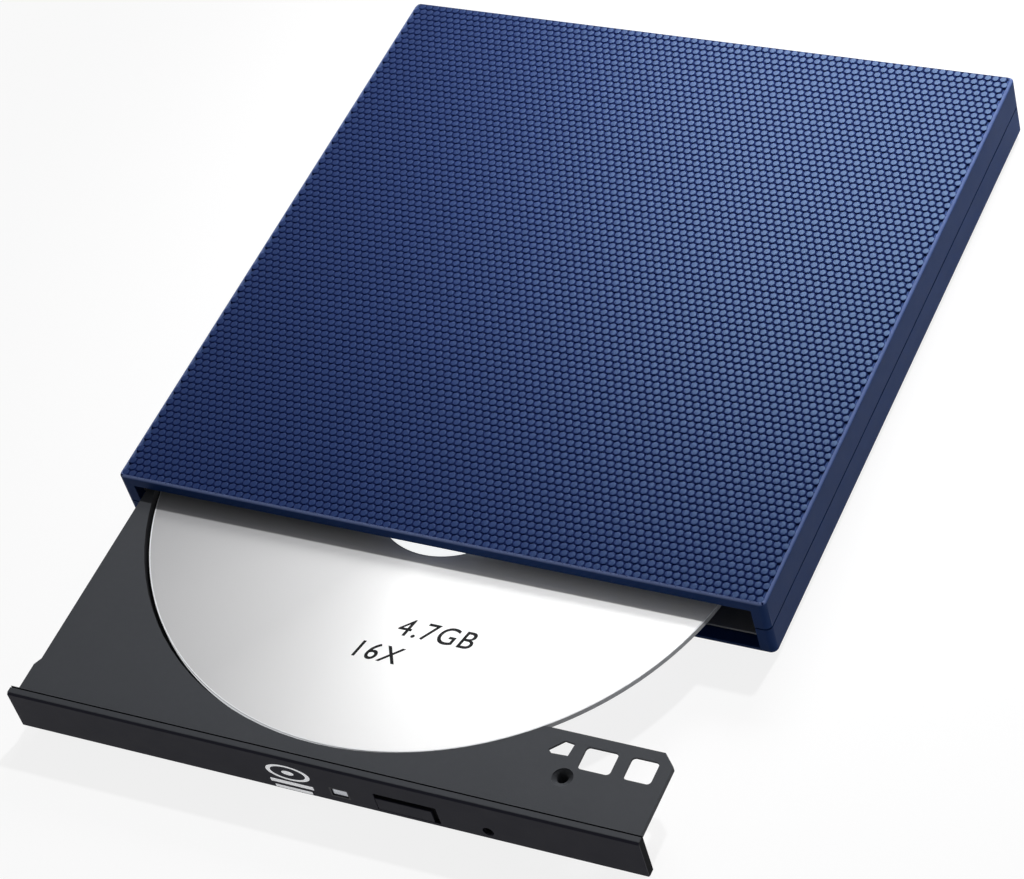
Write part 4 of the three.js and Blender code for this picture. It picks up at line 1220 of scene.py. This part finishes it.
class DISCDRIVE_OT_disc(bpy.types.Operator):
    """Builds the disc: label, clear edge and hub zone, stacking ring and the side that is read"""

    bl_idname = "disc_drive.disc"
    bl_label = "Disc"

    def execute(self, context):
        thick = (DISC_HIGH.z - DISC_LOW.z) / MM
        hub = settings().disc.hub_zone / MM
        edge = DISC_RADIUS / MM
        profile = [
            (7.5, thick - 0.08), (7.58, thick), (hub - 0.3, thick), (hub - 0.15, thick - 0.06),
            (hub + 0.05, thick - 0.06), (hub + 0.2, thick), (22.0, thick), (40.0, thick),
            (edge - 0.75, thick), (edge - 0.7, thick - 0.01), (edge - 0.08, thick - 0.01),
            (edge, thick - 0.09), (edge, 0.09), (edge - 0.08, 0.0), (40.0, 0.0), (22.0, 0.0),
            (17.6, 0.0), (17.3, -0.2), (16.7, -0.2), (16.4, 0.0), (7.58, 0.0), (7.5, 0.08),
        ]
        shape = bmesh.new()
        centre = Vector((DISC_CENTRE.x, DISC_CENTRE.y, DISC_LOW.z))
        profile = [(radius * MM, height * MM) for radius, height in profile]
        turned(shape, centre, profile, 192, close=True)
        near = 0.07 * MM
        for face in shape.faces:
            height = face.calc_center_median().z
            if height > DISC_HIGH.z - near:
                face.material_index = 0
            elif height < DISC_LOW.z + near:
                face.material_index = 2
            else:
                face.material_index = 1
        stand_in(
            "disc", shape, "label", "clear_edge", "recording", name="disc_body", smooth=25.0
        )
        self.words("disc_print_capacity", "4.7GB", 5.6, 10.3, -33.8)
        self.words("disc_print_speed", "16X", 5.4, 0.8, -40.3)
        return {"FINISHED"}

    def words(self, name, text, tall, across, along):
        """Figures printed on the label, with their height and place in mm from the spindle."""
        curve = bpy.data.curves.new(name, "FONT")
        curve.body = text
        curve.size = tall * MM
        curve.align_x = "CENTER"
        curve.extrude = 0.006 * MM
        curve.shear = 0.25
        curve.space_character = 1.12
        typed = linked(name, curve)
        bpy.context.view_layer.update()
        shape = shape_of(typed)
        bpy.data.objects.remove(typed)
        bmesh.ops.remove_doubles(shape, verts=shape.verts, dist=0.001 * MM)
        shape.normal_update()
        bolder = 0.05 * MM
        outward = {
            vertex: sum(
                (face.normal for face in vertex.link_faces if abs(face.normal.z) < 0.5), Vector()
            )
            for vertex in shape.verts
        }
        for vertex, way in outward.items():
            vertex.co += bolder * way.normalized()
        middle = Vector((DISC_CENTRE.x, DISC_CENTRE.y, DISC_HIGH.z))
        bmesh.ops.translate(
            shape, verts=shape.verts, vec=middle + Vector((across, along, 0)) * MM
        )
        finished(name, shape, "spindle", "disc", "ink")


class DISCDRIVE_OT_spindle(bpy.types.Operator):
    """Builds the hub, its three claws, the pad and the spindle motor"""

    bl_idname = "disc_drive.spindle"
    bl_label = "Hub and spindle"

    def execute(self, context):
        dressed("hub", "black", 0.12, 2, 30.0)
        for count in (1, 2, 3):
            dressed(f"hub_claw_{count}", "white", 0.1, 2, 40.0)
        dressed("spindle_rotor", "steel", 0.1, 2, 40.0)
        dressed("turntable_pad", "rubber", 0.08, 2, 40.0)
        dressed("spindle_motor", "dark_steel", 0.08, 1, 40.0)
        return {"FINISHED"}


class DISCDRIVE_OT_pickup(bpy.types.Operator):
    """Builds the pickup: sled, lens, rods, threaded screw, motor, and the plate on its dampers"""

    bl_idname = "disc_drive.pickup"
    bl_label = "Pickup"

    def execute(self, context):
        dressed("mechanism_plate", "sheet", 0.08, 1, 50.0)
        dressed("pickup_sled", "dark_steel", 0.12, 2, 50.0)
        dressed("lens_holder", "black", 0.12, 2, 50.0)
        dressed("lens", "lens", 0.05, 1, 50.0)
        for side in SIDES:
            dressed(f"guide_rod_{side}", "steel", 0.12, 2, 50.0)
        dressed("sled_motor", "dark_steel", 0.2, 2, 50.0)
        for count in (1, 2, 3):
            dressed(f"damper_{count}", "rubber", 0.12, 2, 40.0)
        self.lead_screw()
        return {"FINISHED"}

    def lead_screw(self):
        """A rod with a thread cut round it."""
        points = [vertex.co for vertex in frame["nodes"]["lead_screw"].data.vertices]
        low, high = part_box("lead_screw")
        middle = (low + high) / 2
        angle = math.radians(-130)
        way = Vector((math.cos(angle), math.sin(angle), 0))
        side = Vector((-way.y, way.x, 0))
        up = Vector((0, 0, 1))
        reach = max(abs((point - middle) @ way) for point in points)
        radius = (high.z - low.z) / 2
        lead, groove = 3.0 * MM, 0.22 * MM
        around = 24
        steps = int(2 * reach / lead * 10)
        shape = bmesh.new()
        rings = []
        for step in range(steps + 1):
            along = -reach + 2 * reach * step / steps
            ring = []
            for turn in range(around):
                phase = (along / lead - turn / around) % 1.0
                out = radius - groove * max(0.0, 1 - abs(phase - 0.5) * 4)
                face = math.tau * turn / around
                ring.append(shape.verts.new(
                    middle + way * along + side * out * math.cos(face) + up * out * math.sin(face)
                ))
            rings.append(ring)
        bridge(shape, rings)
        shape.faces.new(rings[0])
        shape.faces.new(rings[-1])
        stand_in("lead_screw", shape, "steel", name="lead_screw_thread", smooth=45.0)


class DISCDRIVE_OT_latch(bpy.types.Operator):
    """Builds the latch lever, its solenoid, and the pins of the latch and the ejector"""

    bl_idname = "disc_drive.latch"
    bl_label = "Latch and ejector"

    def execute(self, context):
        dressed("latch_lever", "white", 0.12, 2, 50.0)
        dressed("latch_solenoid", "winding", 0.2, 2, 50.0)
        dressed("latch_pin", "steel", 0.1, 2, 50.0)
        dressed("ejector_pin", "black", 0.2, 2, 50.0)
        return {"FINISHED"}


# Stage


def area_lamp(name, watts, size, spot, aim, spread=180):
    """A soft lamp that faces a point and lights a cone of spread degrees."""
    lamp = bpy.data.lights.new(name, "AREA")
    lamp.energy = watts
    lamp.shape = "RECTANGLE"
    lamp.size, lamp.size_y = size
    lamp.spread = math.radians(spread)
    holder = linked(name, lamp)
    holder.location = spot
    holder.rotation_mode = "QUATERNION"
    holder.rotation_quaternion = (Vector(aim) - Vector(spot)).to_track_quat("-Z", "Y")


def shown_white(shade):
    """1 for rays from the camera and through gloss or glass, which see a plain white background."""
    path = shade.node("ShaderNodeLightPath").socket.node.outputs
    camera, gloss, glass = (
        Shade(shade.tree, path[name])
        for name in ("Is Camera Ray", "Is Glossy Ray", "Is Transmission Ray")
    )
    return shade.math("MAXIMUM", shade.math("MAXIMUM", camera, gloss), glass)


def paint_floor(shade):
    """Mostly plain white to the camera, with enough of the lit floor to keep the shadow."""
    floor = surface(
        shade, shift(shade, settings().stage.floor, 0.01, 80 * MM),
        0.8 + 0.1 * noise(shade, 30 * MM), None, Specular_IOR_Level=0.0,
    )
    white = shade.node("ShaderNodeEmission", None, {"Color": (1, 1, 1, 1), "Strength": 1.0})
    return shade.node(
        "ShaderNodeMixShader", None, {0: 0.85 * shown_white(shade), 1: floor, 2: white}
    )


class DISCDRIVE_OT_stage(bpy.types.Operator):
    """Builds the floor, the lamps, the surroundings and the camera"""

    bl_idname = "disc_drive.stage"
    bl_label = "Stage"

    def execute(self, context):
        stage = settings().stage
        scene = context.scene
        shape = bmesh.new()
        bmesh.ops.create_circle(shape, cap_ends=True, radius=2.5, segments=64)
        mesh = meshed("floor", shape)
        mesh.materials.append(new_material("floor", paint_floor))
        floor = linked("floor", mesh)
        area_lamp("main_lamp", stage.key, (0.06, 0.06), (0.15, 0.7, 1.2), (0, 0, 0.01))
        area_lamp(
            "rear_lamp", stage.sheen, (0.18, 0.16), (0.0, 0.22, 0.17), (0.03, 0.1, 0.015), 60
        )
        self.surroundings(scene, stage.surroundings)
        self.camera(scene)
        scene.view_settings.view_transform = "Standard"
        return {"FINISHED"}

    def surroundings(self, scene, level):
        """A plain world, dim where it lights the object and white where it is seen."""
        world = bpy.data.worlds.new("surroundings")
        shade = cleared(world)
        strength = level + (1 - level) * shown_white(shade)
        light = shade.node(
            "ShaderNodeBackground", None, {"Color": (1, 1, 1, 1), "Strength": strength}
        )
        shade.node("ShaderNodeOutputWorld", None, {"Surface": light})
        scene.world = world

    def camera(self, scene):
        """The photo's view."""
        camera = bpy.data.cameras.new("camera")
        camera.sensor_width = 36.0
        camera.lens = 117.83
        camera.clip_start = 0.01
        camera.clip_end = 20.0
        holder = linked("camera", camera)
        spot = Matrix.Translation((0.2722, -0.36498, 0.46319))
        turn = Matrix((
            (0.89008, -0.16539, 0.42474),
            (0.40027, 0.72939, -0.55478),
            (-0.21805, 0.66381, 0.71541),
        ))
        holder.matrix_world = spot @ turn.to_4x4()
        scene.camera = holder


class DiscDriveSettings(bpy.types.PropertyGroup):
    """All that a user may change."""

    case: PointerProperty(type=CaseSettings)
    drawer: PointerProperty(type=DrawerSettings)
    disc: PointerProperty(type=DiscSettings)
    works: PointerProperty(type=WorksSettings)
    stage: PointerProperty(type=StageSettings)


BUILDERS = (
    DISCDRIVE_OT_lid, DISCDRIVE_OT_base, DISCDRIVE_OT_feet, DISCDRIVE_OT_screws,
    DISCDRIVE_OT_socket, DISCDRIVE_OT_boards, DISCDRIVE_OT_chassis, DISCDRIVE_OT_cable,
    DISCDRIVE_OT_tray, DISCDRIVE_OT_bezel, DISCDRIVE_OT_button, DISCDRIVE_OT_disc,
    DISCDRIVE_OT_spindle, DISCDRIVE_OT_pickup, DISCDRIVE_OT_latch, DISCDRIVE_OT_stage,
)


class DISCDRIVE_PT_panel(bpy.types.Panel):
    """Lists the sizes, the colours and the pieces"""

    bl_idname = "DISCDRIVE_PT_panel"
    bl_label = "Disc Drive"
    bl_space_type = "VIEW_3D"
    bl_region_type = "UI"
    bl_category = "Disc Drive"

    def draw(self, context):
        values = context.scene.disc_drive
        for title in ("case", "drawer", "disc", "works", "stage"):
            group = getattr(values, title)
            box = self.layout.box()
            box.label(text=title.capitalize())
            for name in group.bl_rna.properties.keys():
                if name not in ("rna_type", "name"):
                    box.prop(group, name)
        for builder in BUILDERS:
            self.layout.operator(builder.bl_idname)


CLASSES = (
    CaseSettings, DrawerSettings, DiscSettings, WorksSettings, StageSettings, DiscDriveSettings,
    *BUILDERS, DISCDRIVE_PT_panel,
)


def register():
    for made in CLASSES:
        bpy.utils.register_class(made)
    bpy.types.Scene.disc_drive = PointerProperty(type=DiscDriveSettings)


def unregister():
    del bpy.types.Scene.disc_drive
    for made in reversed(CLASSES):
        bpy.utils.unregister_class(made)


def main():
    register()
    for builder in BUILDERS:
        group, name = builder.bl_idname.split(".")
        getattr(getattr(bpy.ops, group), name)()


if __name__ == "__main__":
    main()
